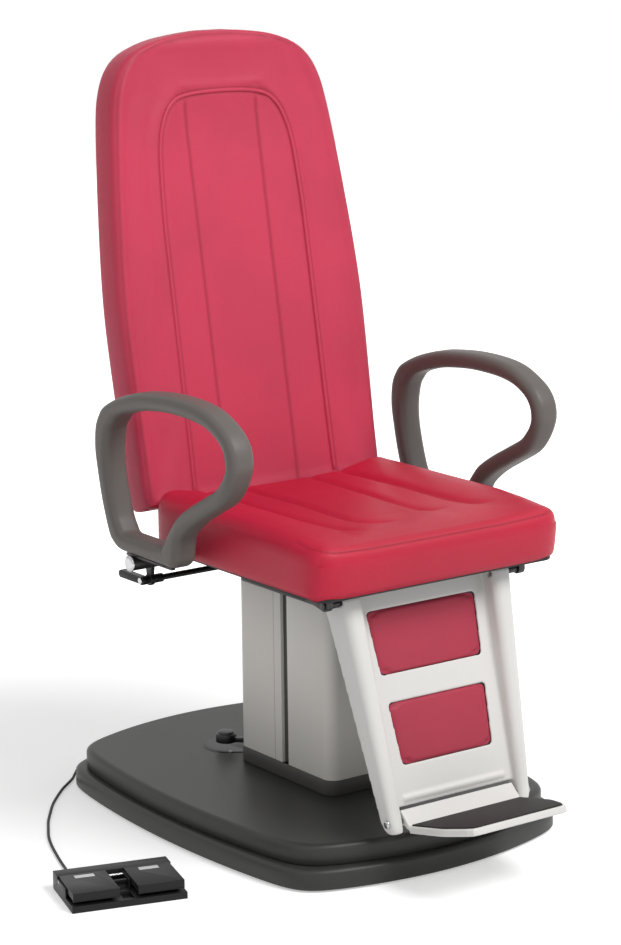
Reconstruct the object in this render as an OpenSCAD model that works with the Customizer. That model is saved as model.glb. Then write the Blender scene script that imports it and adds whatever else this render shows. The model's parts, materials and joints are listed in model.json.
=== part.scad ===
// Ophthalmic examination chair on a two-layer base, with a lifting column, a reclining back,
// a swinging leg panel with a folding footplate, lift-up arms and a cabled foot switch.
// Origin: where the swivel axis meets the floor. +Z is up and the sitter faces -Y.

/* [Base] */
// Width of the base at the floor
base_w = 601; // [560:1:640]
// Length of the base at the floor
base_l = 811; // [770:1:850]
// How far the middle of the base lies behind the swivel axis
base_back = 44; // [36:1:52]
// How far each long side bows out between the corners
side_bow = 32; // [15:1:45]
// How far each end bows out between the corners
end_bow = 56; // [30:1:70]
// Squareness of the base's corners
base_squareness = 16; // [10:1:20]
// Height of the rubber feet
foot_h = 6; // [5:0.5:9]
// Diameter of the rubber feet
foot_d = 44; // [30:1:52]
// Thickness of the steel base plate
plate_t = 8; // [6:0.5:10]
// Gap between the lower cover and the floor
cover_gap = 3; // [2:0.5:4]
// Height of the lower cover
lower_cover_h = 34; // [32:1:40]
// Height of the upper cover
upper_cover_h = 35; // [30:1:42]
// How far the upper cover stands in from the lower one
cover_step = 15; // [10:1:22]
// Wall of the base covers
cover_wall = 3; // [2:0.5:4]
// Radius of the rounded cover edges
cover_round = 9; // [6:0.5:12]

/* [Column] */
// Width of the column
column_w = 150; // [140:1:160]
// Length of the column, front to back
column_l = 268; // [256:1:280]
// How far the middle of the column stands behind the swivel axis
column_back = 10; // [4:1:16]
// Corner radius of the column
column_round = 22; // [16:1:26]
// Height of the dark skirt
skirt_h = 26; // [20:1:32]
// Height of the light covers above the skirt
column_cover_h = 294; // [290:1:300]
// Wall of the column covers
column_wall = 2.5; // [2:0.25:4]
// Width of the dark channel in each side
channel_w = 18; // [14:1:24]
// How far the channel lies behind the swivel axis
channel_back = 5; // [0:1:10]
// Depth of the channel below the covers
channel_deep = 6; // [4:0.5:8]

/* [Lift] */
// Travel of the lift, used by the motion limits
lift_travel = 200; // [150:5:205]
// Outer width of the fixed guide tube
guide_w = 108; // [100:1:112]
// Wall of the guide tubes
guide_wall = 5; // [4:0.5:7]
// Space for the glide pads between the tubes
glide_gap = 4; // [3:0.5:6]
// Diameter of the lift cylinder
cylinder_d = 50; // [42:1:56]
// Diameter of the chromed plunger
plunger_d = 30; // [24:1:34]

/* [Seat] */
// Width of the seat cushion
seat_w = 496; // [470:1:500]
// Front to back length of the seat cushion
seat_l = 480; // [460:1:490]
// Height of the cushion's underside above the floor
seat_z = 476; // [472:1:482]
// Thickness of the seat cushion at its edges
seat_t = 84; // [70:1:95]
// Rise of the seat cushion's side bolsters
seat_crown = 10; // [4:1:14]
// How far the cushion's front edge lies before the swivel axis
seat_front = 338; // [335:1:345]

/* [Back] */
// Tilt of the back at rest, in degrees
back_tilt = 10; // [8:0.5:12]
// Widest width of the back cushion
back_w = 500; // [470:1:504]
// Length of the back cushion
back_l = 789; // [740:1:820]
// Thickness of the back cushion
back_t = 66; // [58:1:70]
// Depth of the dished panel in the back cushion
back_dish = 16; // [8:1:20]
// Depth of the rear shell
shell_t = 20; // [17:1:26]

/* [Arms] */
// Distance of each arm's middle from the middle of the chair
arm_x = 306; // [302:1:312]
// Length of an arm
arm_l = 410; // [390:1:430]
// Height of an arm
arm_h = 280; // [260:1:300]
// Width of an arm
arm_w = 46; // [42:1:48]
// Edge radius of an arm
arm_round = 12; // [8:0.5:13]
// How far an arm's front end lies before the swivel axis
arm_front = 227; // [220:1:235]
// Height of an arm's underside above the floor
arm_z = 485; // [484:0.5:490]

/* [Leg panel] */
// Tilt of the leg panel, in degrees
panel_tilt = 16.3; // [14:0.1:18]
// Length of the leg panel below its hinge
panel_l = 374; // [362:1:378]
// Half width of the panel at its top
panel_top_half = 171; // [165:1:173]
// Half width of the panel at its bottom
panel_low_half = 141; // [138:1:146]
// Thickness of the white field
field_t = 4; // [3:0.5:5]
// Length of the footplate's tread
tread_l = 141; // [125:1:150]
// Half width of the tread
tread_half = 114; // [100:1:115]
// Upward tilt of the tread, in degrees
tread_tilt = 12; // [9:0.5:14]

/* [Foot switch] */
// Width of the foot switch
switch_w = 186; // [174:1:204]
// Length of the foot switch
switch_l = 120; // [110:1:135]
// Height of the foot switch
switch_h = 30; // [28:1:34]
// Turn of the foot switch on the floor, in degrees
switch_turn = -16.5; // [-25:0.5:0]
// Place of its front left corner across the floor
switch_x = -593; // [-640:1:-585]
// Place of its front left corner along the floor
switch_y = -154; // [-180:1:-140]

/* [Hidden] */
$fn = 48;

// Shared clearances
cut = 1;
seat_gap = 0.3;
fit_gap = 0.05;
slack = 0.5;
bearing_gap = 0.3;

// Base
edge_shares = [0, 0.22, 0.44, 0.64, 0.8, 0.9, 0.94];
plate_inset = 14;
cover_bottom = cover_gap;
lower_top = cover_bottom + lower_cover_h;
base_top = lower_top + upper_cover_h;
plate_bottom = foot_h;
plate_top = foot_h + plate_t;
foot_places_shares = [[-0.74, -0.76], [0.74, -0.76], [-0.86, 0], [0.86, 0], [-0.74, 0.76], [0.74, 0.76]];
cover_lip = 50;
screw_d = 6;
screw_head_d = 11;
screw_head_h = 3;
screw_places_shares = [[-0.84, -0.5], [0.84, -0.5], [-0.84, 0.5], [0.84, 0.5]];
boss_d = 16;

// Swivel
spigot_d = 96;
bush_wall = 5;
bush_flange = 14;
bush_flange_t = 6;
housing_wall = 9;
turntable_d = 140;
turntable_t = 12;
hub_d = 108;

// Brake pedal
pad_x = -60;
pad_y = 205;
pad_d = 36;
pad_t = 15;
brake_reach = 85;
brake_bar_w = 12;
brake_bar_t = 8;
brake_pivot_z = 40;
brake_pin_d = 8;
brake_pin_l = 44;
brake_riser = 45;
recess_x = -36;
recess_y = 214;
recess_turn = 54;
recess_w = 94;
recess_l = 112;
recess_t = 2;
slot_w = 14;
slot_l = 17;
brake_turn = 45;
pad_bottom = base_top + 21;
cheek_t = 5;
bracket_l = 26;

// Column
skirt_bottom = base_top + slack;
skirt_top = skirt_bottom + skirt_h;
skirt_out = 1.5;
bed_z = skirt_bottom + column_wall;
column_top = skirt_top + column_cover_h;
cap_t = 4;
channel_front = channel_back - channel_w / 2;
channel_rear = channel_back + channel_w / 2;

// Lift
guide_y = -62;
guide_top = column_top - 12;
inner_w = guide_w - 2 * guide_wall - 2 * glide_gap;
inner_bottom = base_top + 24;
top_plate_w = 150;
top_plate_l = 130;
top_plate_t = 8;
inner_top = column_top + cap_t + 4;
top_plate_top = inner_top + top_plate_t;
glide_t = 3.6;
glide_w = 60;
glide_h = 34;
glide_low_z = inner_bottom + 8;
glide_high_z = guide_top - glide_h - 6;
cylinder_h = 240;
cylinder_wall = 8;
motor_d = 66;
motor_h = 130;
pump_w = 90;
pump_l = 70;
pump_h = 60;
rear_room_y = (column_back + column_l / 2 - column_wall + channel_rear) / 2;
pipe_d = 6;
pipe_z = bed_z + 8;

// Seat frame
pan_t = 6;
pan_inset = 12;
rail_w = 25;
rail_h = 40;
rail_x = 88;
rail_top = seat_z - pan_t;
rail_bottom = rail_top - rail_h;
rail_front = 234;
rail_rear = 216;
bolster_w = 30;
cross_h = 14;
cross_y = -222;
cross_w = 24;
ear_t = 12;
ear_r = 9;
ear_gap = 17;
hinge_y = -282;
hinge_z = 453;
hinge_pin_d = 10;
hinge_head_d = 12.5;
hinge_head_t = 3;
hinge_pin_in = 140;
pivot_y = 196;
pivot_z = 442;
shaft_d = 20;

// Recline linkage
recline_swing = 65;
crank_r = 42;
yoke_r = 30;
crank_rest = recline_swing / 2;
crank_t = 8;
crank_w = 20;
crank_pin_d = 8;
crank_x = 103;
link_t = 6;
link_h = 18;
link_clear = 0.5;
yoke_w = 14;
yoke_h = 24;
yoke_l = 18;
yoke_crank_t = 5;
rod_d = 10;
rod_l = 130;
gas_d = 22;
gas_l = 104;
gas_front = 26;
gas_wall = 3;
gas_z = pivot_z - yoke_r * (1 + cos(crank_rest)) / 2;

// Arms
carrier_w = 40;
carrier_t = 8;
carrier_z = rail_top - carrier_t - 1;
cheek_x = 254;
cheek_w = 52;
arm_pivot_y = 81;
arm_pivot_z = 470;
arm_shaft_d = 16;
sleeve_d = 25;
sleeve_in = cheek_x + carrier_t + 2;
sleeve_out = arm_x + arm_w / 2 - 5;
cap_d = 28;
shaft_cap_t = 4;
arm_plate_l = 110;
arm_plate_t = 4;
arm_plate_rear = 100;
stop_d = 8;
stop_y = 30;

// Release lever
lever_y = 126;
lever_z = 424;
lever_d = 10;
lever_eye_d = 20;
lever_in = 20;
hub_out = 277;
hub_in = 264.5;
lever_hub_d = 15;
socket_l = 18;
paddle_l = 70;
paddle_h = 13;
lever_screw_d = 11;
lever_screw_h = 2.5;
cam_l = 16;
cam_t = 8;

// Leg panel, in its own frame: x across, s down the panel from the hinge, f forward of the field
rail_length = 365;
rail_stations = [
    [-8, 12, 5], [-6, 6, 2], [-1, 0, 0], [60, 0, 0], [120, 0, 0], [180, 0, 0], [240, 0, 0], [300, 0, 0],
    [338, 0, 0], [350, 2, 0], [357, 4, 1], [362, 7, 2.5], [365, 12, 5]
];
field_back = 17.5;
field_top_s = -8;
field_low_s = panel_l - 39;
rail_heel_top = 40;
rail_heel_low = 33;
rail_front_shares = [0.087, 0.035];
rail_wide_shares = [0.24, 0.17];
window_1 = [[23, 109], [126, 102]];
window_2 = [[171, 97.5], [271, 91]];
pocket_wall = 5;
pocket_s = [14, panel_l - 46];
bracket_s = [8, 46];
window_round = 6;
pad_proud = 0.5;
pad_edge = 0.6;
back_plate_t = 3;
rib_s = panel_l - 51;
rib_half = 102;
rib_d = 12;
pivot_s = panel_l - 18.3;
pivot_f = 16.5;
pivot_d = 8;

// Footplate
tread_drop_f = 18;
tread_drop_z = 4;
tread_h = 12;
tread_wall = 3;
tread_front_half = 96;
tread_straight_share = 0.55;
riser_h = 17;
riser_t = 4;
mat_edge = 4;
mat_t = 2.5;
screw_cap_d = 13;
screw_cap_h = 3;

// Cushions
side_draw = 5;
groove_deep = 5;
groove_half = 7;

// Foot switch
pedal_w = 75;
pedal_l = 84;
pedal_t = 9;
pedal_skirt = 8;
pedal_bottom = 16;
rear_bar_l = 28;
floor_t = 11;
hinge_bar_d = 5;
hinge_bar_z = 22;
strip_w = 32;
strip_l = 12;
strip_y = 72;
strip_t = 0.6;
micro_w = 20;
micro_l = 10;
micro_h = 6;
console_w = 22;
pedal_side = 3;
pad_feet = 1.5;

// Cable from the base to the foot switch, its points chosen by hand
cable_d = 5;
cable_sides = 8;
cable_steps = 3;
gland_d = 12;
gland_l = 12;
cable_route = [
    [-213, 412, 12], [-215, 418, 12], [-217, 424, 12], [-221, 431, 10], [-229, 431, 7], [-238, 423, 5],
    [-247, 413, 4], [-256, 403, 4], [-267, 393, 4], [-281, 381, 4], [-298, 366, 4], [-326, 338, 3],
    [-354, 306, 3], [-379, 272, 3], [-403, 238, 3], [-424, 203, 3],
    [-444, 168, 3], [-461, 131, 3], [-476, 92, 3], [-490, 53, 3], [-503, 15, 4], [-515, -12, 9],
    [-526, -29, 13], [-529, -38, 14], [-532, -47, 14]
];

function sum(list, i = 0) = i == len(list) - 1 ? list[i] : list[i] + sum(list, i + 1);
function mean(list) = sum(list) / len(list);
function mix(a, b, t) = a + (b - a) * t;

// Smooth curve through closed points, with a number of steps between neighbours
function curve_point(a, b, c, d, t) =
    (2 * b + (c - a) * t + (2 * a - 5 * b + 4 * c - d) * t * t
        + (3 * b - a - 3 * c + d) * t * t * t) / 2;
function closed_curve(p, steps) = let(n = len(p)) [
    for (i = [0:n - 1], k = [0:steps - 1])
        curve_point(p[(i + n - 1) % n], p[i], p[(i + 1) % n], p[(i + 2) % n], k / steps)
];
function open_curve(p, steps) = let(n = len(p)) [
    for (i = [0:n - 2], k = [0:steps - (i == n - 2 ? 0 : 1)])
        curve_point(p[max(i - 1, 0)], p[i], p[i + 1], p[min(i + 2, n - 1)], k / steps)
];

// Solid through a stack of rings, each turning the same way, closed by a fan at both ends
module loft(rings) {
    n = len(rings[0]);
    m = len(rings);
    points = concat([for (r = rings) each r], [mean(rings[0]), mean(rings[m - 1])]);
    walls = [
        for (j = [0:m - 2], i = [0:n - 1])
            let(a = j * n + i, b = j * n + (i + 1) % n) each [[a, a + n, b + n], [a, b + n, b]]
    ];
    low = [for (i = [0:n - 1]) [m * n, i, (i + 1) % n]];
    high = [for (i = [0:n - 1]) [m * n + 1, (m - 1) * n + (i + 1) % n, (m - 1) * n + i]];
    polyhedron(points, concat(walls, low, high), convexity = 8);
}

// Solid through rings that close on themselves, like a belt
module belt(rings) {
    n = len(rings[0]);
    m = len(rings);
    polyhedron([for (r = rings) each r], [
        for (j = [0:m - 1], i = [0:n - 1])
            let(a = j * n + i, b = j * n + (i + 1) % n, up = ((j + 1) % m - j) * n)
                each [[a, a + up, b + up], [a, b + up, b]]
    ], convexity = 8);
}

module round_rect(w, l, r) {
    square([w - 2 * r, l], center = true);
    square([w, l - 2 * r], center = true);
    for (x = [-1, 1], y = [-1, 1]) translate([x * (w / 2 - r), y * (l / 2 - r)]) circle(r);
}

module slab(w, l, h, r) {
    linear_extrude(height = h) round_rect(w, l, r);
}

// Round bar along X between two places
module bar_x(d, from, to) {
    translate([from, 0, 0]) rotate([0, 90, 0]) cylinder(d = d, h = to - from);
}

// Box given by its low and high corners
module span(low, high) {
    translate(low) cube(high - low);
}

// Plate lying in the YZ plane, given by its outline
module side_plate(x, t, outline) {
    translate([x, 0, 0]) rotate([90, 0, 90]) linear_extrude(height = t) polygon(outline);
}

module both_sides() {
    children();
    mirror([1, 0, 0]) children();
}

// Base outline: a bowed rectangle with tight corners, drawn in by an inset
function other_share(v) = pow(1 - pow(v, base_squareness), 1 / base_squareness);
corner_place = pow(0.5, 1 / base_squareness);
quarter = concat([for (v = edge_shares) [other_share(v), v]], [[corner_place, corner_place]],
    [for (i = [len(edge_shares) - 1:-1:1]) [edge_shares[i], other_share(edge_shares[i])]]);
function turned(p, quarters) =
    quarters == 0 ? p : quarters == 1 ? [-p[1], p[0]] : quarters == 2 ? -p : [p[1], -p[0]];
function base_ring(inset, z) = [
    for (k = [0:3], q = quarter)
        let(p = turned(q, k))
            [p[0] * (base_w / 2 - inset - side_bow * p[1] * p[1]),
                base_back + p[1] * (base_l / 2 - inset - end_bow * p[0] * p[0]), z]
];
function flat(ring) = [for (p = ring) [p[0], p[1]]];
function base_place(share, inset) =
    [share[0] * (base_w / 2 - inset), base_back + share[1] * (base_l / 2 - inset)];
function round_edge(inset, z, r, steps) = [
    for (k = [0:steps]) [inset + r * (1 - cos(90 * k / steps)), z + r * sin(90 * k / steps)]
];

module base_plate() {
    color("dimgray") difference() {
        union() {
            translate([0, 0, plate_bottom])
                linear_extrude(height = plate_t) polygon(flat(base_ring(plate_inset, 0)));
            cylinder_from(spigot_d + 2 * bush_wall + 2 * housing_wall, plate_top - cut,
                base_top - turntable_t - bush_flange_t - slack);
        }
        translate([0, 0, plate_top])
            cylinder(d = spigot_d + 2 * bush_wall, h = base_top);
        for (s = screw_places_shares) translate(base_place(s, plate_inset))
            cylinder(d = screw_d + slack, h = plate_top + cut);
    }
}

module cylinder_from(d, from, to) {
    translate([0, 0, from]) cylinder(d = d, h = to - from);
}

module base_feet() {
    color("black") {
        for (s = foot_places_shares) translate(base_place(s, plate_inset))
            cylinder(d = foot_d, h = foot_h);
        cylinder(d = foot_d, h = foot_h);
    }
}

module lower_base_cover() {
    outer = concat([[cover_round / 3, cover_bottom], [0, cover_bottom + cover_round / 2]],
        round_edge(0, lower_top - cover_round, cover_round, 4));
    inner = [
        [cover_step + cover_lip, lower_top], [cover_step + cover_lip, lower_top - cover_wall],
        [cover_round + cover_wall, lower_top - cover_wall],
        [cover_wall + cover_round / 3, cover_bottom]
    ];
    color("#504f4c") difference() {
        union() {
            belt([for (p = concat(outer, inner)) base_ring(p[0], p[1])]);
            for (s = screw_places_shares) translate(base_place(s, plate_inset))
                cylinder_from(boss_d, plate_top, lower_top - cover_wall / 2);
        }
        for (s = screw_places_shares) translate(base_place(s, plate_inset))
            cylinder_from(screw_d, plate_top - cut, lower_top - 2 * cover_wall);
        translate([0, base_back + base_l / 2, inlet_z]) span([-inlet_w / 2, -inlet_l, -inlet_h / 2],
            [inlet_w / 2, cut, inlet_h / 2]);
        gland_frame() cylinder(d = gland_d, h = gland_l);
    }
}
inlet_w = 30;
inlet_l = 26;
inlet_h = 18;
inlet_z = (plate_top + lower_top - cover_wall) / 2;
inlet_wall = 2;
blade_w = 2;
blade_l = 6;
blade_gap = 7;

module upper_base_cover() {
    wall = cover_wall;
    outer = concat([[cover_step, lower_top]],
        round_edge(cover_step, base_top - cover_round, cover_round, 4));
    inner = [
        [cover_step + cover_round + wall, base_top - wall],
        [cover_step + wall, base_top - cover_round - wall / 2], [cover_step + wall, lower_top]
    ];
    color("#565552") difference() {
        loft([for (p = concat(inner, outer)) base_ring(p[0], p[1])]);
        translate([0, 0, lower_top]) cylinder(d = turntable_d + 4 * slack, h = upper_cover_h + cut);
        recess_outline(0, base_top - recess_t, recess_t + cut);
        recess_outline(2 * cover_wall, lower_top, upper_cover_h);
    }
}

// Oval around the brake pedal, with straight sides and round ends
module recess_outline(inset, from, h) {
    translate([recess_x, recess_y, from]) rotate([0, 0, recess_turn]) linear_extrude(height = h) {
        for (y = [-1, 1]) translate([0, y * (recess_l - recess_w) / 2])
            circle(d = recess_w - 2 * inset);
        square([recess_w - 2 * inset, recess_l - recess_w], center = true);
    }
}

module cover_screws() {
    color("silver") for (s = screw_places_shares) translate(base_place(s, plate_inset)) {
        cylinder_from(screw_d - slack, plate_bottom - cut, lower_top - 3 * cover_wall);
        cylinder_from(screw_head_d, plate_bottom - screw_head_h, plate_bottom);
    }
}

module swivel_bush() {
    top = base_top - turntable_t;
    color("peru") difference() {
        union() {
            cylinder_from(spigot_d + 2 * bush_wall - 2 * fit_gap, plate_top, top);
            cylinder_from(spigot_d + 2 * bush_wall + bush_flange, top - bush_flange_t, top);
        }
        cylinder_from(spigot_d + 2 * fit_gap, plate_top - cut, top + cut);
    }
}

module brake_recess_plate() {
    color("#262626") difference() {
        recess_outline(fit_gap, base_top - recess_t, recess_t);
        brake_frame() span([brake_riser - slot_l / 2, -slot_w / 2, base_top - 2 * recess_t],
            [brake_riser + slot_l / 2, slot_w / 2, base_top + cut]);
    }
    color("silver") translate([recess_x, recess_y, base_top]) rotate([0, 0, recess_turn])
        translate([-recess_w / 2 + screw_d, screw_d, 0]) cylinder(d = screw_d, h = recess_t / 2);
}

// Frame of the brake pedal: its lever runs along +X of this frame, out from its pivot
module brake_frame() {
    translate([pad_x + brake_reach * cos(brake_turn), pad_y - brake_reach * sin(brake_turn), 0])
        rotate([0, 0, 180 - brake_turn]) children();
}

module brake_bracket() {
    color("dimgray") brake_frame() {
        for (side = [-1, 1]) difference() {
            span([-bracket_l / 2, side * (brake_bar_w / 2 + slack + cheek_t / 2) - cheek_t / 2, plate_top],
                [bracket_l / 2, side * (brake_bar_w / 2 + slack + cheek_t / 2) + cheek_t / 2,
                    brake_pivot_z + brake_pin_d]);
            translate([0, -brake_pin_l / 2, brake_pivot_z]) rotate([-90, 0, 0])
                cylinder(d = brake_pin_d, h = brake_pin_l);
        }
    }
}

module brake_pin() {
    color("silver") brake_frame() translate([0, -brake_pin_l / 2 + bracket_l / 4, brake_pivot_z])
        rotate([-90, 0, 0]) cylinder(d = brake_pin_d, h = brake_pin_l - bracket_l / 2);
}

module brake_pedal() {
    high = pad_bottom - brake_bar_t;
    color("#1c1c1c") brake_frame() {
        difference() {
            union() {
                span([-brake_bar_w, -brake_bar_w / 2, brake_pivot_z - brake_bar_t / 2],
                    [brake_riser + brake_bar_t / 2, brake_bar_w / 2, brake_pivot_z + brake_bar_t / 2]);
                span([brake_riser - brake_bar_t / 2, -brake_bar_w / 2, brake_pivot_z],
                    [brake_riser + brake_bar_t / 2, brake_bar_w / 2, pad_bottom]);
                span([brake_riser, -brake_bar_w / 2, high],
                    [brake_reach, brake_bar_w / 2, pad_bottom]);
                translate([0, brake_bar_w / 2, brake_pivot_z]) rotate([90, 0, 0])
                    cylinder(d = 2 * brake_bar_t, h = brake_bar_w);
                translate([brake_reach, 0, high]) cylinder(d = pad_d, h = pad_t);
                translate([brake_reach, 0, high + pad_t])
                    cylinder(d = pad_d - pad_t / 2, h = pad_t / 4);
            }
            translate([0, brake_bar_w, brake_pivot_z]) rotate([90, 0, 0])
                cylinder(d = brake_pin_d + 2 * fit_gap, h = 2 * brake_bar_w);
        }
    }
}

module mains_inlet() {
    color("#202020") translate([0, base_back + base_l / 2, inlet_z]) {
        difference() {
            span([-inlet_w / 2 + fit_gap, -inlet_l + fit_gap, -inlet_h / 2 + fit_gap],
                [inlet_w / 2 - fit_gap, -cut, inlet_h / 2 - fit_gap]);
            span([-inlet_w / 2 + inlet_wall, -inlet_l + 3 * inlet_wall, -inlet_h / 2 + inlet_wall],
                [inlet_w / 2 - inlet_wall, 0, inlet_h / 2 - inlet_wall]);
        }
        for (x = [-1, 0, 1]) translate([x * blade_gap, 0, x == 0 ? blade_w : -blade_w])
            span([-blade_w / 2, -inlet_l + 2 * inlet_wall, -blade_l / 2],
                [blade_w / 2, -2 * blade_l, blade_l / 2]);
    }
}

// Frame of the cable gland: +Z runs out of the base along the cable's first stretch
module gland_frame() {
    way = cable_route[1] - cable_route[0];
    translate(cable_route[1])
        rotate([0, acos(way[2] / norm(way)), atan2(way[1], way[0])])
            translate([0, 0, -gland_l]) children();
}

gland_grip = norm(cable_route[1] - cable_route[0]);

module cable_gland() {
    color("#161616") gland_frame() difference() {
        union() {
            cylinder(d = gland_d - 2 * fit_gap, h = gland_l);
            translate([0, 0, gland_l * 3 / 4]) cylinder(d = gland_d + cable_d, h = gland_l / 4);
        }
        translate([0, 0, gland_l - gland_grip]) cylinder(d = cable_d, h = gland_l);
    }
}

// Foot switch, in a frame with its front left corner at the origin
module switch_frame() {
    translate([switch_x, switch_y, 0]) rotate([0, 0, switch_turn]) children();
}

function pedal_x(side) =
    side < 0 ? pedal_side : switch_w - pedal_side - pedal_w;
pedal_front = 5;
pedal_rear = switch_l - rear_bar_l - 2 * slack;

module switch_housing() {
    color("#202020") switch_frame() difference() {
        union() {
            span([0, 0, 0], [switch_w, switch_l, floor_t]);
            span([0, switch_l - rear_bar_l, 0], [switch_w, switch_l, switch_h - slack]);
            span([pedal_side + pedal_w + slack, pedal_l * 0.72, floor_t * 1.5],
                [switch_w - pedal_side - pedal_w - slack, pedal_l * 0.72 + hinge_bar_d,
                    switch_h - pedal_skirt]);
            for (x = [0, switch_w - pedal_side + slack])
                span([x, pedal_l / 2, 0], [x + pedal_side - slack, switch_l, switch_h - pedal_skirt / 2]);
            for (x = [pedal_side + pedal_w + slack, switch_w - 2 * pedal_side - pedal_w])
                span([x, pedal_l * 0.6, 0],
                    [x + pedal_side - slack, switch_l, switch_h - pedal_skirt / 2]);
        }
        span([pedal_side + pedal_w + 2 * pedal_side, pedal_skirt, floor_t / 3],
            [switch_w - 3 * pedal_side - pedal_w, pedal_l / 2 - pedal_side, floor_t + cut]);
        translate([0, hinge_y_switch, hinge_bar_z]) bar_x(hinge_bar_d, -cut, switch_w + cut);
        translate([switch_w / 2, switch_l / 2, -cut]) linear_extrude(height = pad_feet + cut)
            square([switch_w - 8 * pad_feet, switch_l - 8 * pad_feet], center = true);
        span([pedal_side + slack, switch_l - rear_bar_l - pedal_side, floor_t / 2],
            [switch_w - pedal_side - slack, switch_l - 3 * pedal_side, floor_t + cut]);
    }
}
hinge_y_switch = pedal_rear - hinge_bar_d;

module switch_hinge_pin() {
    color("silver") switch_frame() translate([0, hinge_y_switch, hinge_bar_z])
        bar_x(hinge_bar_d, 0, switch_w);
}

module pedal(side) {
    x = pedal_x(side);
    color("#242424") switch_frame() difference() {
        union() {
            span([x, pedal_front, switch_h - pedal_t], [x + pedal_w, pedal_rear, switch_h]);
            span([x, pedal_front, pedal_bottom],
                [x + pedal_w, pedal_front + pedal_side, switch_h]);
            for (edge = [x, x + pedal_w - pedal_side])
                span([edge, pedal_front, pedal_bottom + pedal_side],
                    [edge + pedal_side, pedal_rear, switch_h]);
        }
        translate([0, hinge_y_switch, hinge_bar_z])
            bar_x(hinge_bar_d + 2 * fit_gap, x - cut, x + pedal_w + cut);
        span([x + (pedal_w - strip_w) / 2, strip_y, switch_h - strip_t / 2],
            [x + (pedal_w + strip_w) / 2, strip_y + strip_l, switch_h + cut]);
    }
}

module pedal_strip(side) {
    x = pedal_x(side) + (pedal_w - strip_w) / 2;
    color("white") switch_frame()
        span([x, strip_y, switch_h - strip_t / 2],
            [x + strip_w, strip_y + strip_l, switch_h + strip_t / 2]);
}

module micro_switches() {
    color("#5a2020") switch_frame() for (side = [-1, 1])
        translate([pedal_x(side) + pedal_w / 2, pedal_l / 3, floor_t]) {
            span([-micro_w / 2, -micro_l / 2, 0], [micro_w / 2, micro_l / 2, micro_h]);
        }
}

// Tube swept along the cable's smoothed route
function route_way(p, i) = let(n = len(p)) p[min(i + 1, n - 1)] - p[max(i - 1, 0)];
function unit(v) = v / norm(v);
function tube_ring(p, i, r) = let(
    way = unit(route_way(p, i)), side = unit(cross(way, [0, 0, 1])), up = cross(side, way)
) [
    for (k = [0:cable_sides - 1])
        let(angle = 360 * k / cable_sides) p[i] + r * (side * cos(angle) + up * sin(angle))
];
cable_points = open_curve(cable_route, cable_steps);

module foot_switch_cable() {
    color("#1a1a1a") loft([
        for (i = [len(cable_points) - 1:-1:0]) tube_ring(cable_points, i, cable_d / 2)
    ]);
}

module turntable() {
    color("gray") difference() {
        union() {
            cylinder_from(turntable_d, base_top - turntable_t, base_top);
            cylinder_from(spigot_d, plate_top + slack, base_top - cut);
            cylinder_from(hub_d, base_top - cut, skirt_bottom);
            translate([0, column_back, skirt_bottom])
                slab(column_w - 4 * column_wall, column_l - 4 * column_wall, column_wall, column_round);
        }
        cylinder_from(spigot_d - 2 * turntable_t, 0, base_top - turntable_t);
    }
}

module column_shell_outline(grow) {
    translate([0, column_back]) difference() {
        round_rect(column_w + 2 * grow, column_l + 2 * grow, column_round + grow);
        round_rect(column_w - 2 * column_wall, column_l - 2 * column_wall, column_round - column_wall);
    }
}

module column_skirt() {
    color("#4a4845") translate([0, 0, skirt_bottom])
        linear_extrude(height = skirt_h) column_shell_outline(skirt_out);
}

module column_part(from, to) {
    translate([0, 0, skirt_top]) linear_extrude(height = column_cover_h) {
        intersection() {
            column_shell_outline(0);
            translate([0, (from + to) / 2]) square([2 * column_w, to - from], center = true);
        }
        for (side = [-1, 1], y = [from, to])
            if (abs(y - column_back) < column_l / 2)
                translate([side * (column_w / 2 - channel_deep), y > (from + to) / 2 ? y - column_wall / 2
                    : y + column_wall / 2])
                    square([2 * channel_deep - fit_gap, column_wall], center = true);
    }
}

module front_column_cover() {
    color("#aca9a4") column_part(-column_l, channel_front);
}

module rear_column_cover() {
    color("#aaa6a1") column_part(channel_rear, column_l);
}

module column_channels() {
    color("#4c4b48") both_sides() translate([0, 0, skirt_top]) linear_extrude(height = column_cover_h)
        translate([column_w / 2 - channel_deep - column_wall / 2, channel_back])
            square([column_wall, channel_w - 2 * fit_gap], center = true);
}

module column_top_cap() {
    color("#3c3b39") translate([0, 0, column_top]) difference() {
        translate([0, column_back, 0]) slab(column_w, column_l, cap_t, column_round);
        translate([0, guide_y, -cut]) linear_extrude(height = cap_t + 2 * cut)
            square(inner_w + 2 * slack, center = true);
    }
}

module square_tube(w, wall, from, to) {
    translate([0, guide_y, from]) linear_extrude(height = to - from) difference() {
        square(w, center = true);
        square(w - 2 * wall, center = true);
    }
}

module guide_tube() {
    color("gray") difference() {
        square_tube(guide_w, guide_wall, bed_z, guide_top);
        translate([0, guide_y, pipe_z]) rotate([-90, 0, 0]) cylinder(d = pipe_d + slack, h = guide_w);
    }
}

module glide_pads() {
    color("ivory") translate([0, guide_y, 0]) for (turn = [0:90:270], z = [glide_high_z])
        rotate([0, 0, turn])
            span([guide_w / 2 - guide_wall - glide_t, -glide_w / 2, z],
                [guide_w / 2 - guide_wall, glide_w / 2, z + glide_h]);
}

module lift_cylinder() {
    color("dimgray") translate([0, guide_y, 0]) difference() {
        cylinder_from(cylinder_d, bed_z, bed_z + cylinder_h);
        cylinder_from(plunger_d + 2 * fit_gap, bed_z + cylinder_wall, bed_z + cylinder_h + cut);
    }
}

module lift_plunger() {
    color("silver") translate([0, guide_y, 0])
        cylinder_from(plunger_d, bed_z + 2 * cylinder_wall, inner_top);
}

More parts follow.
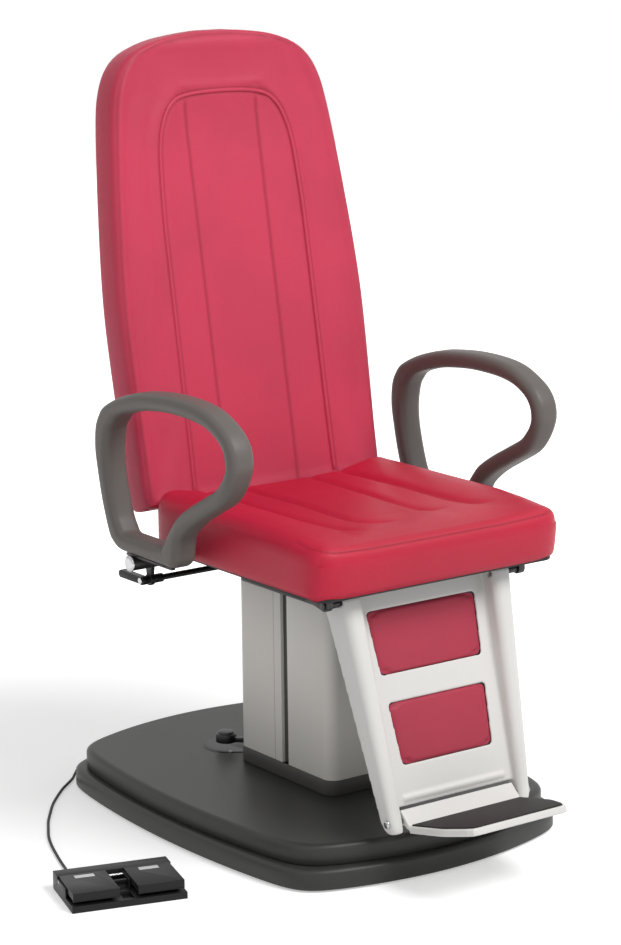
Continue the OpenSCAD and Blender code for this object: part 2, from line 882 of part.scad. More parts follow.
module pump_unit() {
    color("darkgray") {
        translate([0, rear_room_y, bed_z])
            span([-pump_w / 2, -pump_l / 2, 0], [pump_w / 2, pump_l / 2, pump_h]);
        translate([0, guide_y + cylinder_d / 2 - 2 * fit_gap, pipe_z]) rotate([-90, 0, 0])
            cylinder(d = pipe_d, h = rear_room_y - pump_l / 2 - guide_y - cylinder_d / 2 + cut);
    }
}

module pump_motor() {
    color("#303840") translate([0, rear_room_y, 0]) {
        cylinder_from(motor_d, bed_z + pump_h, bed_z + pump_h + motor_h);
        cylinder_from(motor_d / 3, bed_z + pump_h + motor_h - cut, bed_z + pump_h + motor_h + guide_wall);
    }
}

module inner_tube() {
    color("#b4b1ac") {
        square_tube(inner_w, guide_wall, inner_bottom, inner_top);
        translate([0, guide_y, inner_top])
            slab(top_plate_w, top_plate_l, top_plate_t, guide_wall);
    }
}

module seat_frame() {
    color("#222222") difference() {
        union() {
            both_sides() span([rail_x - rail_w / 2, -rail_front, rail_bottom],
                [rail_x + rail_w / 2, rail_rear, rail_top]);
            for (y = [guide_y - top_plate_l / 2 + bolster_w / 2, guide_y + top_plate_l / 2 - bolster_w / 2])
                span([-rail_x - rail_w / 2, y - bolster_w / 2, top_plate_top],
                    [rail_x + rail_w / 2, y + bolster_w / 2, rail_bottom + cut]);
            span([-ear_x - ear_t, cross_y - cross_w / 2, rail_top - cross_h],
                [ear_x + ear_t, cross_y + cross_w / 2, rail_top]);
            both_sides() hinge_ear();
            span([-rail_x, gas_front, gas_z + gas_d / 2 + seat_gap],
                [rail_x, gas_front + carrier_w, rail_bottom + 2 * guide_wall]);
            span([-rail_x, lever_y - bolster_w / 2, rail_top - cross_h / 2],
                [rail_x, lever_y + bolster_w / 2, rail_top]);
        }
        translate([0, hinge_y, hinge_z]) bar_x(hinge_pin_d, -seat_w, seat_w);
        translate([0, pivot_y, pivot_z]) bar_x(shaft_d + 2 * fit_gap, -seat_w, seat_w);
        translate([0, lever_y, lever_z]) bar_x(lever_d + 2 * fit_gap, -seat_w, seat_w);
    }
}
ear_x = panel_top_half + ear_gap;

module hinge_ear() {
    translate([ear_x, hinge_y, hinge_z]) rotate([0, 90, 0]) cylinder(r = ear_r, h = ear_t);
    side_plate(ear_x, ear_t, [
        [hinge_y - ear_r, hinge_z], [hinge_y, hinge_z - ear_r], [cross_y, rail_top - cross_h],
        [cross_y, rail_top], [hinge_y - ear_r, rail_top]
    ]);
}

module seat_pan() {
    color("#181818") translate([0, (seat_l) / 2 - seat_front, rail_top])
        slab(seat_w - 2 * pan_inset, seat_l - 2 * pan_inset, pan_t, column_round);
}

module leg_hinge_pins() {
    color("#2a2a2a") translate([0, hinge_y, hinge_z]) both_sides() {
        bar_x(hinge_pin_d, hinge_pin_in, ear_x + ear_t);
        bar_x(hinge_head_d, ear_x + ear_t, ear_x + ear_t + hinge_head_t);
        bar_x(hinge_head_d, panel_top_half + slack, ear_x - slack);
    }
}

// Everything that carries one arm, drawn on the +X side
module arm_carrier() {
    span([rail_x + rail_w / 2, arm_pivot_y - carrier_w / 2, carrier_z],
        [cheek_x + carrier_t, arm_pivot_y + carrier_w / 2, carrier_z + carrier_t]);
    side_plate(cheek_x, carrier_t, [
        [arm_pivot_y - cheek_w / 2, carrier_z - carrier_t],
        [arm_pivot_y + cheek_w / 2, carrier_z - carrier_t],
        [arm_pivot_y + cheek_w / 2, arm_pivot_z + arm_shaft_d],
        [arm_pivot_y - cheek_w / 2, arm_pivot_z + arm_shaft_d]
    ]);
    translate([0, arm_pivot_y, arm_pivot_z])
        bar_x(arm_shaft_d, cheek_x, sleeve_out + 2 * slack);
    translate([0, stop_y + stop_d, arm_z - arm_plate_t - stop_d / 2 - 2 * slack])
        bar_x(stop_d, cheek_x, cheek_x + carrier_t + stop_d * 1.5);
}

module arm_carriers() {
    color("#1e1e1e") {
        both_sides() arm_carrier();
        mirror([1, 0, 0]) difference() {
            union() {
                side_plate(cheek_x, carrier_t, [
                    [arm_pivot_y, carrier_z], [lever_y + lever_eye_d / 2, carrier_z],
                    [lever_y + lever_eye_d / 2, carrier_z - carrier_t],
                    [lever_y + stop_d / 2, lever_z], [lever_y - stop_d / 2, lever_z],
                    [lever_y - lever_eye_d / 2, carrier_z - carrier_t], [arm_pivot_y, carrier_z - carrier_t]
                ]);
                translate([0, lever_y, lever_z]) bar_x(lever_eye_d, cheek_x, cheek_x + carrier_t);
            }
            translate([0, lever_y, lever_z])
                bar_x(lever_d + 2 * fit_gap, cheek_x - cut, cheek_x + carrier_t + cut);
        }
    }
}

module arm_shaft_caps() {
    color("silver") both_sides() translate([0, arm_pivot_y, arm_pivot_z]) {
        bar_x(cap_d, sleeve_out + 2 * slack, sleeve_out + 2 * slack + shaft_cap_t / 2);
        bar_x(cap_d - shaft_cap_t, sleeve_out + 2 * slack, sleeve_out + 2 * slack + shaft_cap_t);
    }
}

module gas_spring_cylinder() {
    color("#2a2a2c") translate([0, gas_front, gas_z]) rotate([-90, 0, 0]) difference() {
        union() {
            cylinder(d = gas_d, h = gas_l);
            translate([0, 0, -gas_wall]) cylinder(d = gas_d - 2 * gas_wall, h = gas_wall);
        }
        translate([0, 0, gas_wall]) cylinder(d = rod_d + 2 * fit_gap, h = gas_l);
    }
}

// End of a crank hanging from a pivot, at its rest angle, and the plate that reaches it
function crank_end(y, z, r) = [y + r * sin(crank_rest), z - r * cos(crank_rest)];

module crank_arm(y, z, r, from, t) {
    end = crank_end(y, z, r);
    across = [cos(crank_rest), sin(crank_rest)] * crank_w / 2;
    side_plate(from, t, [
        [y, z] + across, [y, z] - across, end - across, end + across
    ]);
    translate([0, end[0], end[1]]) bar_x(crank_w, from, from + t);
}

module recline_shaft() {
    end = crank_end(pivot_y, pivot_z, yoke_r);
    color("darkgray") {
        translate([0, pivot_y, pivot_z])
            bar_x(shaft_d, -crank_x - crank_t - slack, crank_x + crank_t + slack);
        for (x = [-yoke_w / 2 - slack - yoke_crank_t, yoke_w / 2 + slack])
            crank_arm(pivot_y, pivot_z, yoke_r, x, yoke_crank_t);
        translate([0, end[0], end[1]])
            bar_x(crank_pin_d, -yoke_w / 2 - slack - yoke_crank_t, yoke_w / 2 + slack + yoke_crank_t);
    }
}

// The back's own frame: x across, y to the rear through its thickness, z up along it
back_low_y = seat_l - seat_front + 8;
back_ref_z = seat_z + seat_t + 6;
module back_frame_of() {
    translate([0, back_low_y, back_ref_z]) rotate([-back_tilt, 0, 0]) children();
}
back_bottom = -33;
back_top = back_bottom + back_l;
upright_w = 30;
upright_t = 12;
upright_y = back_t + 3;
upright_x = 103;
upright_top_share = 0.72;

module back_frame() {
    up_top = back_top * upright_top_share;
    end = crank_end(pivot_y, pivot_z, crank_r);
    color("#2a2a2a") difference() {
        union() {
            back_frame_of() {
                both_sides() span([upright_x, upright_y, -3 * upright_w],
                    [upright_x + upright_w, upright_y + upright_t, up_top]);
                for (z = [upright_w, up_top - upright_w])
                    span([-upright_x - upright_w, upright_y, z],
                        [upright_x + upright_w, upright_y + upright_t, z + upright_w]);
            }
            both_sides() {
                translate([0, pivot_y, pivot_z]) bar_x(2 * shaft_d, upright_x, upright_x + crank_t);
                side_plate(upright_x, crank_t, [
                    [pivot_y - shaft_d, pivot_z], [pivot_y + shaft_d, pivot_z],
                    [pivot_y + shaft_d + upright_t, pivot_z + 3 * shaft_d],
                    [pivot_y - upright_t / 2, pivot_z + 3 * shaft_d]
                ]);
            }
            crank_arm(pivot_y, pivot_z, crank_r, crank_x, crank_t);
            translate([0, end[0], end[1]])
                bar_x(crank_pin_d, crank_x, crank_x + crank_t + link_t + 4 * slack);
        }
        translate([0, pivot_y, pivot_z]) bar_x(shaft_d, -seat_w, seat_w);
    }
}

// Half widths of the back, as shares of its widest half, at shares of its length
back_half_shares = [
    [0, 0.945], [0.01, 0.97], [0.035, 0.982], [0.11, 0.984], [0.21, 0.992], [0.32, 1], [0.42, 1],
    [0.52, 0.984], [0.63, 0.955], [0.73, 0.924], [0.83, 0.886], [0.885, 0.847], [0.93, 0.778],
    [0.962, 0.664], [0.984, 0.48], [0.995, 0.27], [1, 0.1]
];

// Corner-rounded outline of the back in its own plane, drawn in by an inset
back_halves = open_curve(back_half_shares, 3);
function back_outline(inset) = let(
    right = [
        for (p = back_halves)
            [p[1] * (back_w / 2 - inset), back_bottom + inset + p[0] * (back_l - 2 * inset)]
    ]
) concat(right, [for (i = [len(right) - 1:-1:0]) [-right[i][0], right[i][1]]]);

function back_ring(inset, y) = [for (p = back_outline(inset)) [p[0], y, p[1]]];

module back_shell() {
    inset = 14;
    wall = 3;
    bend = back_t + shell_t * 0.6;
    outer = [[inset, back_t + seat_gap], [inset, bend], [inset + 3 * wall, back_t + shell_t],
        [inset + 14 * wall, back_t + shell_t + wall]];
    inner = [[inset + 14 * wall, back_t + shell_t], [inset + 4 * wall, back_t + shell_t - wall],
        [inset + wall, bend], [inset + wall, back_t + seat_gap]];
    color("#3a3938") back_frame_of() difference() {
        loft([for (p = concat(inner, outer)) back_ring(p[0], p[1])]);
        both_sides() span([upright_x - slack, upright_y - slack, 2 * back_bottom],
            [upright_x + upright_w + slack, back_t + shell_t + 3 * wall, back_bottom + upright_w * 1.5]);
    }
}

// Cushion over a grid of shares, with sunk lines along its seams
function near_share(v, list) = min([for (s = list) abs(abs(v) - s)]);

seat_u_shares = [-1, -0.985, -0.93, -0.83, -0.7, -0.6, -0.565, -0.53, -0.42, -0.305, -0.27, -0.235, -0.12,
    0, 0.12, 0.235, 0.27, 0.305, 0.42, 0.53, 0.565, 0.6, 0.7, 0.83, 0.93, 0.985, 1];
seat_v_shares = [-1, -0.985, -0.93, -0.86, -0.76, -0.66, -0.58, -0.5, -0.36, -0.2, 0, 0.2, 0.4, 0.6, 0.76,
    0.88, 0.95, 1];
seat_seam_shares = [0.27, 0.565];
// Rise of the seat's side bolsters and fall of its middle, as shares of the crown
seat_rise_shares = [[0, -0.85], [0.27, -0.8], [0.42, -0.7], [0.565, -0.4], [0.7, 0.55], [0.83, 1],
    [0.93, 0.8], [1, 0.3]];
seat_fade_shares = [[-1, 0], [-0.86, 0.05], [-0.66, 0.5], [-0.5, 0.85], [-0.2, 1], [1, 1]];
seat_groove_shares = [[-1, 0], [-0.66, 0], [-0.5, 1], [1, 1]];
corner_share = 0.045;
corner_power = 18;

function seat_point(u, v) = let(
    half_w = seat_w / 2 * (1 - corner_share * pow(abs(v), corner_power)),
    half_l = seat_l / 2 * (1 - corner_share * pow(abs(u), corner_power))
) [u * half_w, seat_l / 2 - seat_front + v * half_l];
function seat_top(u, v) =
    seat_z + seat_t + seat_crown * lookup(abs(u), seat_rise_shares) * lookup(v, seat_fade_shares)
    - (near_share(u, seat_seam_shares) < 0.01 ? groove_deep * lookup(v, seat_groove_shares) : 0)
    - side_draw * (pow(abs(u), 14) + pow(abs(v), 14));

// Walk round the edge of a grid, as pairs of column and row numbers
function edge_walk(nu, nv) = concat(
    [for (i = [0:nu - 2]) [i, 0]],
    [for (j = [0:nv - 2]) [nu - 1, j]],
    [for (i = [nu - 1:-1:1]) [i, nv - 1]],
    [for (j = [nv - 1:-1:1]) [0, j]]
);

// Grid solid: a shaped top, rings of sides below it, and a flat underside with a fan
module grid_cushion(nu, nv, points_top, sides, bottom_centre) {
    edge = edge_walk(nu, nv);
    ne = len(edge);
    base = nu * nv;
    rings = len(sides);
    top_faces = [
        for (j = [0:nv - 2], i = [0:nu - 2])
            let(a = j * nu + i) each [[a, a + nu, a + nu + 1], [a, a + nu + 1, a + 1]]
    ];
    first = [
        for (k = [0:ne - 1]) let(
            m = (k + 1) % ne, a = edge[k][1] * nu + edge[k][0], b = edge[m][1] * nu + edge[m][0]
        ) each [[a, b, base + m], [a, base + m, base + k]]
    ];
    lower = [
        for (r = [0:rings - 2], k = [0:ne - 1])
            let(a = base + r * ne + k, b = base + r * ne + (k + 1) % ne)
                each [[a, b, b + ne], [a, b + ne, a + ne]]
    ];
    last = base + (rings - 1) * ne;
    under = [for (k = [0:ne - 1]) [last + k, last + (k + 1) % ne, base + rings * ne]];
    points = concat(points_top, [for (s = sides) each s], [bottom_centre]);
    polyhedron(points, concat(top_faces, first, lower, under), convexity = 6);
}

module seat_cushion() {
    middle_y = seat_l / 2 - seat_front;
    nu = len(seat_u_shares);
    nv = len(seat_v_shares);
    side_step_shares = [[0.86, 1], [0.5, 1.006], [0.12, 0.998], [0, 0.985]];
    color("#b52640") grid_cushion(nu, nv,
        [for (v = seat_v_shares, u = seat_u_shares) concat(seat_point(u, v), [seat_top(u, v)])],
        [for (s = side_step_shares) [
            for (e = edge_walk(nu, nv))
                let(p = seat_point(seat_u_shares[e[0]], seat_v_shares[e[1]]))
                    [p[0] * s[1], middle_y + (p[1] - middle_y) * s[1], seat_z + seat_gap + s[0] * seat_t]
        ]],
        [0, middle_y, seat_z + seat_gap]);
}

// Back cushion: a raised border round a dished panel, with two seams down the panel
back_u_shares = [-1, -0.985, -0.93, -0.83, -0.7, -0.61, -0.58, -0.55, -0.43, -0.32, -0.29, -0.26, -0.13,
    0, 0.13, 0.26, 0.29, 0.32, 0.43, 0.55, 0.58, 0.61, 0.7, 0.83, 0.93, 0.985, 1];
back_v_shares = [0, 0.01, 0.035, 0.11, 0.21, 0.32, 0.42, 0.52, 0.63, 0.73, 0.79, 0.825, 0.845, 0.86,
    0.885, 0.91, 0.93, 0.95, 0.965, 0.98, 0.99, 0.997];
seam_x_shares = [0.29, 0.58];
panel_top_share = 0.86;
// Half widths of the panel, as shares of the back's widest half, at shares of its length
panel_half_shares = [[0, 0.58], [0.523, 0.576], [0.73, 0.544], [0.79, 0.5], [0.825, 0.45], [0.845, 0.4],
    [0.86, 0.33], [0.885, 0.35], [0.93, 0.36], [0.965, 0.3], [0.99, 0.17], [1, 0.12]];
back_dish_shares = [[0, 0.75], [0.26, 0.8], [0.29, 0.8], [0.43, 0.65], [0.58, 0.3], [0.7, 0.05], [0.83, 0],
    [1, 0.1]];
back_fade_shares = [[0, 1], [0.79, 1], [0.845, 0.85], [0.86, 0.75], [0.885, 0.1], [0.91, 0], [1, 0]];

function back_half(v) = back_w / 2 * lookup(v, back_halves);
function panel_side(v) = back_w / 2 * lookup(v, panel_half_shares);
// Sideways place: the inner seams stay straight, the outer ones follow the panel's edge
function back_x(u, v) = let(
    a = seam_x_shares[0], b = seam_x_shares[1],
    inner = min(a * back_w / 2, panel_side(v) * 0.8)
) abs(u) <= a ? u / a * inner
    : abs(u) <= b ? sign(u) * mix(inner, panel_side(v), (abs(u) - a) / (b - a))
    : sign(u) * mix(panel_side(v), back_half(v), (abs(u) - b) / (1 - b));
function back_groove(u, v) = let(
    side = near_share(u, seam_x_shares) < 0.01 && v <= panel_top_share,
    top = abs(v - panel_top_share) < 0.001 && abs(u) < 0.59
) (side || top) ? groove_deep * 0.8 : 0;
function back_front(u, v) =
    back_dish * lookup(abs(u), back_dish_shares) * lookup(v, back_fade_shares) + back_groove(u, v)
    + side_draw * min(1, pow(abs(u), 14) + pow(abs(2 * v - 1), 40));

module back_cushion() {
    nu = len(back_u_shares);
    nv = len(back_v_shares);
    side_step_shares = [[0.16, 1], [0.5, 1.006], [0.86, 1], [1, 0.985]];
    middle_z = back_bottom + back_l / 2;
    color("#c8506a") back_frame_of() rotate([90, 0, 0]) grid_cushion(nu, nv,
        [for (v = back_v_shares, u = back_u_shares)
            [back_x(u, v), back_bottom + v * back_l, -back_front(u, v)]],
        [for (s = side_step_shares) [
            for (e = edge_walk(nu, nv))
                let(v = back_v_shares[e[1]])
                    [back_x(back_u_shares[e[0]], v) * s[1],
                        middle_z + (back_bottom + v * back_l - middle_z) * s[1], -s[0] * back_t]
        ]],
        [0, middle_z, -back_t]);
}

module recline_link() {
    rear = crank_end(pivot_y, pivot_z, crank_r);
    front = crank_end(hinge_y, hinge_z, crank_r);
    x = crank_x + crank_t + slack;
    color("silver") difference() {
        union() {
            side_plate(x, link_t, [
                [front[0], front[1] - link_h / 2], [rear[0], rear[1] - link_h / 2],
                [rear[0], rear[1] + link_h / 2], [front[0], front[1] + link_h / 2]
            ]);
            for (p = [rear, front]) translate([0, p[0], p[1]]) bar_x(link_h, x, x + link_t);
        }
        translate([0, rear[0], rear[1]]) bar_x(crank_pin_d + 2 * fit_gap, x - cut, x + link_t + cut);
        translate([0, front[0], front[1]]) bar_x(crank_pin_d + 2 * link_clear, x - cut, x + link_t + cut);
    }
}

module gas_spring_rod() {
    end = crank_end(pivot_y, pivot_z, yoke_r);
    slot_h = yoke_r * (1 - cos(crank_rest)) + crank_pin_d + 4 * link_clear;
    color("silver") {
        translate([0, end[0] - yoke_l / 2 + cut, gas_z]) rotate([90, 0, 0]) cylinder(d = rod_d, h = rod_l);
        difference() {
            span([-yoke_w / 2, end[0] - yoke_l / 2, gas_z - yoke_h / 2],
                [yoke_w / 2, end[0] + yoke_l / 2, gas_z + yoke_h / 2]);
            span([-yoke_w, end[0] - crank_pin_d / 2 - link_clear, gas_z - slot_h / 2],
                [yoke_w, end[0] + crank_pin_d / 2 + link_clear, gas_z + slot_h / 2]);
        }
    }
}

// The leg panel's own frame: x across, y forward of the hinge plane, z up along the panel
module panel_frame() {
    translate([0, hinge_y, hinge_z]) rotate([-panel_tilt, 0, 0]) mirror([0, 1, 0]) children();
}
// Half width of the panel and reach of its rails at a distance down the panel
function panel_half(s) = mix(panel_top_half, panel_low_half, s / panel_l);
function rail_reach(s) = panel_l * mix(rail_front_shares[0], rail_front_shares[1], s / panel_l);
function rail_width(s) =
    mix(rail_wide_shares[0] * panel_top_half, rail_wide_shares[1] * panel_low_half, s / panel_l);
function rail_heel(s) = -mix(rail_heel_top, rail_heel_low, s / panel_l);

function rail_ring(s, low, drawn) = let(
    out = panel_half(s), wide = rail_width(s) - drawn, front = rail_reach(s) - field_back - drawn,
    rear = rail_heel(s) + low, r = wide * 0.42, inner = out - wide - drawn
) concat(
    [[inner, rear, -s], [out - drawn, rear, -s]],
    [for (k = [0:4]) [out - drawn - r * (1 - cos(18 * k + 18)), front - r + r * sin(18 * k + 18), -s]],
    [for (k = [0:4]) [inner + r * (1 - sin(18 * k)), front - r + r * cos(18 * k), -s]]
);

module leg_rail() {
    loft([for (i = [len(rail_stations) - 1:-1:0]) let(p = rail_stations[i])
        rail_ring(p[0] > panel_l / 2 ? panel_l - rail_length + p[0] : p[0], p[1], p[2])]);
}

function trapezoid(low_s, low_half, high_s, high_half) =
    [[-low_half, -low_s], [low_half, -low_s], [high_half, -high_s], [-high_half, -high_s]];

// Trapezoid window or pad with round corners, drawn in by an inset
module window(w, inset) {
    top_s = w[0][0] + inset;
    low_s = w[1][0] - inset;
    top_half = w[0][1] - inset;
    low_half = w[1][1] - inset;
    r = window_round;
    polygon(trapezoid(low_s - r, low_half, top_s + r, top_half));
    polygon(trapezoid(low_s, low_half - r, top_s, top_half - r));
    for (side = [-1, 1]) {
        translate([side * (top_half - r), -top_s - r]) circle(r);
        translate([side * (low_half - r), -low_s + r]) circle(r);
    }
}

module upright_sheet(y, t) {
    translate([0, y + t, 0]) rotate([90, 0, 0]) linear_extrude(height = t) children();
}

module leg_frame() {
    low_half = panel_half(field_low_s) - rail_width(field_low_s) / 2;
    top_half = panel_half(field_top_s) - rail_width(field_top_s) / 2;
    color("#e4e1de") difference() {
        panel_frame() union() {
            both_sides() difference() {
                leg_rail();
                upright_sheet(-seat_l, seat_l - field_back / 2) polygon(rail_pocket());
            }
            upright_sheet(-field_back - field_t, field_t) difference() {
                polygon(trapezoid(field_low_s, low_half, field_top_s, top_half));
                window(window_1, 0);
                window(window_2, 0);
            }
            translate([0, -field_back - field_t / 2, -rib_s]) bar_x(rib_d, -rib_half, rib_half);
        }
        translate([0, hinge_y, hinge_z]) bar_x(hinge_pin_d + 2 * fit_gap, -seat_w, seat_w);
        pivot_frame() bar_x(pivot_d, -seat_w, seat_w);
    }
}

// Hollow of a rail, seen from behind
function rail_pocket() = let(a = pocket_s[0], b = pocket_s[1]) [
    [panel_half(b) - rail_width(b) + pocket_wall, -b], [panel_half(b) - pocket_wall, -b],
    [panel_half(a) - pocket_wall, -a], [panel_half(a) - rail_width(a) + pocket_wall, -a]
];

module pivot_frame() {
    translate([0, hinge_y - pivot_s * sin(panel_tilt) + pivot_f * cos(panel_tilt),
        hinge_z - pivot_s * cos(panel_tilt) - pivot_f * sin(panel_tilt)]) children();
}

module leg_pads() {
    color("#b8405a") panel_frame() for (w = [window_1, window_2])
        upright_sheet(-field_back - field_t, field_t + pad_proud) window(w, pad_edge);
}

module leg_back_plate() {
    end = crank_end(hinge_y, hinge_z, crank_r);
    y = -field_back - field_t - back_plate_t;
    pin_f = crank_r * sin(crank_rest + panel_tilt);
    pin_s = crank_r * cos(crank_rest + panel_tilt);
    color("#2c2c2c") {
        panel_frame() {
            upright_sheet(y, back_plate_t)
                polygon(trapezoid(window_2[1][0] + plate_margin, window_2[1][1] + plate_margin,
                    bracket_s[0], crank_x + crank_t));
            for (x = [-1, 1]) span([x * stiffener_x - back_plate_t / 2, y - stiffener_h, -window_2[1][0]],
                [x * stiffener_x + back_plate_t / 2, y + back_plate_t / 2, -window_1[0][0]]);
            side_plate(crank_x, crank_t, [
                [y, -bracket_s[0]], [y, -bracket_s[1]], [-pin_f - crank_w / 4, -pin_s - crank_w / 2],
                [-pin_f - crank_w / 4, -pin_s + crank_w / 2]
            ]);
        }
        translate([0, end[0], end[1]]) {
            bar_x(crank_w, crank_x, crank_x + crank_t);
            bar_x(crank_pin_d, crank_x, crank_x + crank_t + link_t + 4 * slack);
        }
    }
}
plate_margin = 8;
stiffener_x = 60;
stiffener_h = 8;

module footplate_screws() {
    out = panel_half(pivot_s);
    color("silver") pivot_frame() both_sides() {
        bar_x(pivot_d - 2 * fit_gap, tread_half - 2 * tread_wall, out + screw_cap_h);
        bar_x(screw_cap_d, out + slack / 5, out + screw_cap_h);
    }
}

// Footplate: x across, y forward from the pivot, z up
module tread_frame() {
    pivot_frame() translate([0, -tread_drop_f, -tread_drop_z]) rotate([-tread_tilt, 0, 0])
        mirror([0, 1, 0]) children();
}

function tread_outline(inset) = let(
    rear = inset, front = tread_l - inset, half = tread_half - inset, tip = tread_front_half - inset,
    bend = tread_l * tread_straight_share, r = (half - tip) * 0.6
) [
    [half, rear], [half, bend], [half - r * 0.15, bend + r], [tip + r * 0.35, front - r * 1.1],
    [tip - r * 0.2, front - r * 0.2], [tip - r, front],
    [-tip + r, front], [-tip + r * 0.2, front - r * 0.2], [-tip - r * 0.35, front - r * 1.1],
    [-half + r * 0.15, bend + r], [-half, bend], [-half, rear]
];
function tread_ring(inset, z) = [for (p = tread_outline(inset)) [p[0], p[1], z]];

module footplate() {
    w = tread_wall;
    color("#e8e6e2") difference() {
        union() {
            tread_frame() loft([for (p = [
                [w, -w], [w, -tread_h], [w / 2, -tread_h], [0, -tread_h + w / 2], [0, -w / 2], [w / 2, 0]
            ]) tread_ring(p[0], p[1])]);
            side_riser();
            pivot_frame() both_sides() bar_x(2 * pivot_d, tread_half - 2 * tread_wall, tread_half);
        }
        pivot_frame() bar_x(pivot_d, -seat_w, seat_w);
    }
}

// Riser between the tread's rear edge and the line under the white field
module side_riser() {
    lean = tread_drop_f + tread_drop_z / 2;
    pivot_frame() side_plate(-tread_half, 2 * tread_half, [
        [-lean, -tread_drop_z - tread_wall], [-lean, -tread_drop_z], [riser_t, riser_h],
        [2 * riser_t, riser_h - riser_t], [-tread_drop_f / 2, -pivot_d],
        [-lean + tread_wall, -pivot_d - tread_wall]
    ]);
}

module footplate_mat() {
    color("#3c3836") tread_frame() linear_extrude(height = mat_t)
        polygon([for (p = tread_outline(mat_edge)) p]);
}

// Arm outline: outer and inner points in pairs, as shares of the arm's length and height
arm_outer_shares = [
    [0.471, 0], [0.617, 0], [0.763, 0], [0.837, 0.007], [0.88, 0.04], [0.905, 0.08], [0.93, 0.165],
    [0.96, 0.295], [0.985, 0.45], [1, 0.58], [0.993, 0.705], [0.968, 0.782], [0.93, 0.84],
    [0.837, 0.905], [0.73, 0.953], [0.634, 0.98], [0.471, 1], [0.315, 0.997], [0.207, 0.975],
    [0.13, 0.932], [0.054, 0.868], [0.012, 0.79], [0, 0.7], [0.017, 0.62], [0.05, 0.532],
    [0.1, 0.457], [0.195, 0.38], [0.29, 0.304], [0.36, 0.232], [0.4, 0.17], [0.41, 0.1],
    [0.417, 0.043], [0.44, 0.008]
];
arm_inner_shares = [
    [0.526, 0.114], [0.617, 0.107], [0.74, 0.107], [0.79, 0.108], [0.812, 0.118], [0.824, 0.14],
    [0.849, 0.196], [0.876, 0.31], [0.9, 0.454], [0.905, 0.58], [0.89, 0.696], [0.868, 0.746],
    [0.837, 0.79], [0.785, 0.821], [0.71, 0.85], [0.622, 0.875], [0.471, 0.896], [0.33, 0.893],
    [0.237, 0.879], [0.168, 0.854], [0.11, 0.807], [0.078, 0.75], [0.07, 0.682], [0.078, 0.636],
    [0.1, 0.596], [0.137, 0.543], [0.227, 0.471], [0.324, 0.396], [0.407, 0.318], [0.456, 0.239],
    [0.49, 0.175], [0.503, 0.147], [0.514, 0.127]
];
arm_steps = 2;
arm_corner_steps = 3;

// Rounded section of the arm between an inner and an outer point
function arm_section(inner, outer, x) = let(
    t = norm(outer - inner), r = min(arm_round, t * 0.42), way = (outer - inner) / t, half = arm_w / 2
) [
    for (c = [[1, 1, 0], [1, 0, 90], [-1, 0, 180], [-1, 1, 270]], k = [0:arm_corner_steps])
        let(angle = c[2] - 90 * (1 - k / arm_corner_steps) + 90,
            px = c[0] * (half - r) + r * sin(angle),
            pt = (c[1] == 1 ? t - r : r) + r * cos(angle), q = inner + way * pt)
            [x + px, q[0], q[1]]
];
function arm_place(share) = [share[0] * arm_l - arm_front, arm_z + share[1] * arm_h];

module arm(side) {
    outer = closed_curve([for (p = arm_outer_shares) arm_place(p)], arm_steps);
    inner = closed_curve([for (p = arm_inner_shares) arm_place(p)], arm_steps);
    color("#6e6863") belt([
        for (i = [0:len(outer) - 1]) arm_section(inner[i], outer[i], side * arm_x)
    ]);
}

module arm_bracket() {
    color("#1b1b1b") difference() {
        union() {
            translate([0, arm_pivot_y, arm_pivot_z]) bar_x(sleeve_d, sleeve_in, sleeve_out);
            span([sleeve_in, arm_plate_rear - arm_plate_l, arm_z - arm_plate_t - slack],
                [sleeve_out - arm_plate_t, arm_plate_rear, arm_z - slack]);
        }
        translate([0, arm_pivot_y, arm_pivot_z])
            bar_x(arm_shaft_d + 2 * fit_gap, sleeve_in - cut, sleeve_out + cut);
    }
}

module lever_rod() {
    color("#2a2a2a") translate([0, lever_y, lever_z]) {
        bar_x(lever_d, -hub_out, -lever_in);
        bar_x(lever_hub_d, -cheek_x + slack, -cheek_x + slack + socket_l);
        span([-lever_in - cam_t, -lever_d / 2, -lever_d / 2], [-lever_in, cam_l, lever_d / 2]);
    }
}

module lever_handle() {
    color("#151515") translate([0, lever_y, lever_z]) difference() {
        union() {
            bar_x(lever_hub_d, -hub_out, -hub_in);
            span([-hub_out, 0, -paddle_h / 2], [-hub_in, paddle_l - paddle_h / 2, paddle_h / 2]);
            translate([0, paddle_l - paddle_h / 2, 0]) bar_x(paddle_h, -hub_out, -hub_in);
        }
        bar_x(lever_d, -hub_out - cut, -hub_in + cut);
    }
}

module lever_screw() {
    color("silver") translate([0, lever_y, lever_z])
        bar_x(lever_screw_d, -hub_out - lever_screw_h, -hub_out);
}

base_plate();
base_feet();
lower_base_cover();
upper_base_cover();
cover_screws();
swivel_bush();
brake_recess_plate();
brake_bracket();
brake_pin();
mains_inlet();
cable_gland();
switch_housing();
switch_hinge_pin();
micro_switches();
foot_switch_cable();
pedal(-1);  // up_pedal
pedal(1);  // down_pedal
pedal_strip(-1);  // up_pedal_strip
pedal_strip(1);  // down_pedal_strip
brake_pedal();
turntable();
column_skirt();
front_column_cover();
rear_column_cover();
column_channels();
column_top_cap();
guide_tube();
glide_pads();
lift_cylinder();
pump_unit();
pump_motor();
inner_tube();
lift_plunger();
seat_frame();
seat_pan();
seat_cushion();
leg_hinge_pins();
arm_carriers();
arm_shaft_caps();
gas_spring_cylinder();
recline_shaft();
back_frame();
back_shell();
back_cushion();
recline_link();
gas_spring_rod();
leg_back_plate();
leg_frame();
leg_pads();
footplate_screws();
footplate();
footplate_mat();
arm(-1);  // right_arm
arm(1);  // left_arm
mirror([1, 0, 0]) arm_bracket();  // right_arm_bracket
arm_bracket();  // left_arm_bracket
lever_rod();
lever_handle();
lever_screw();
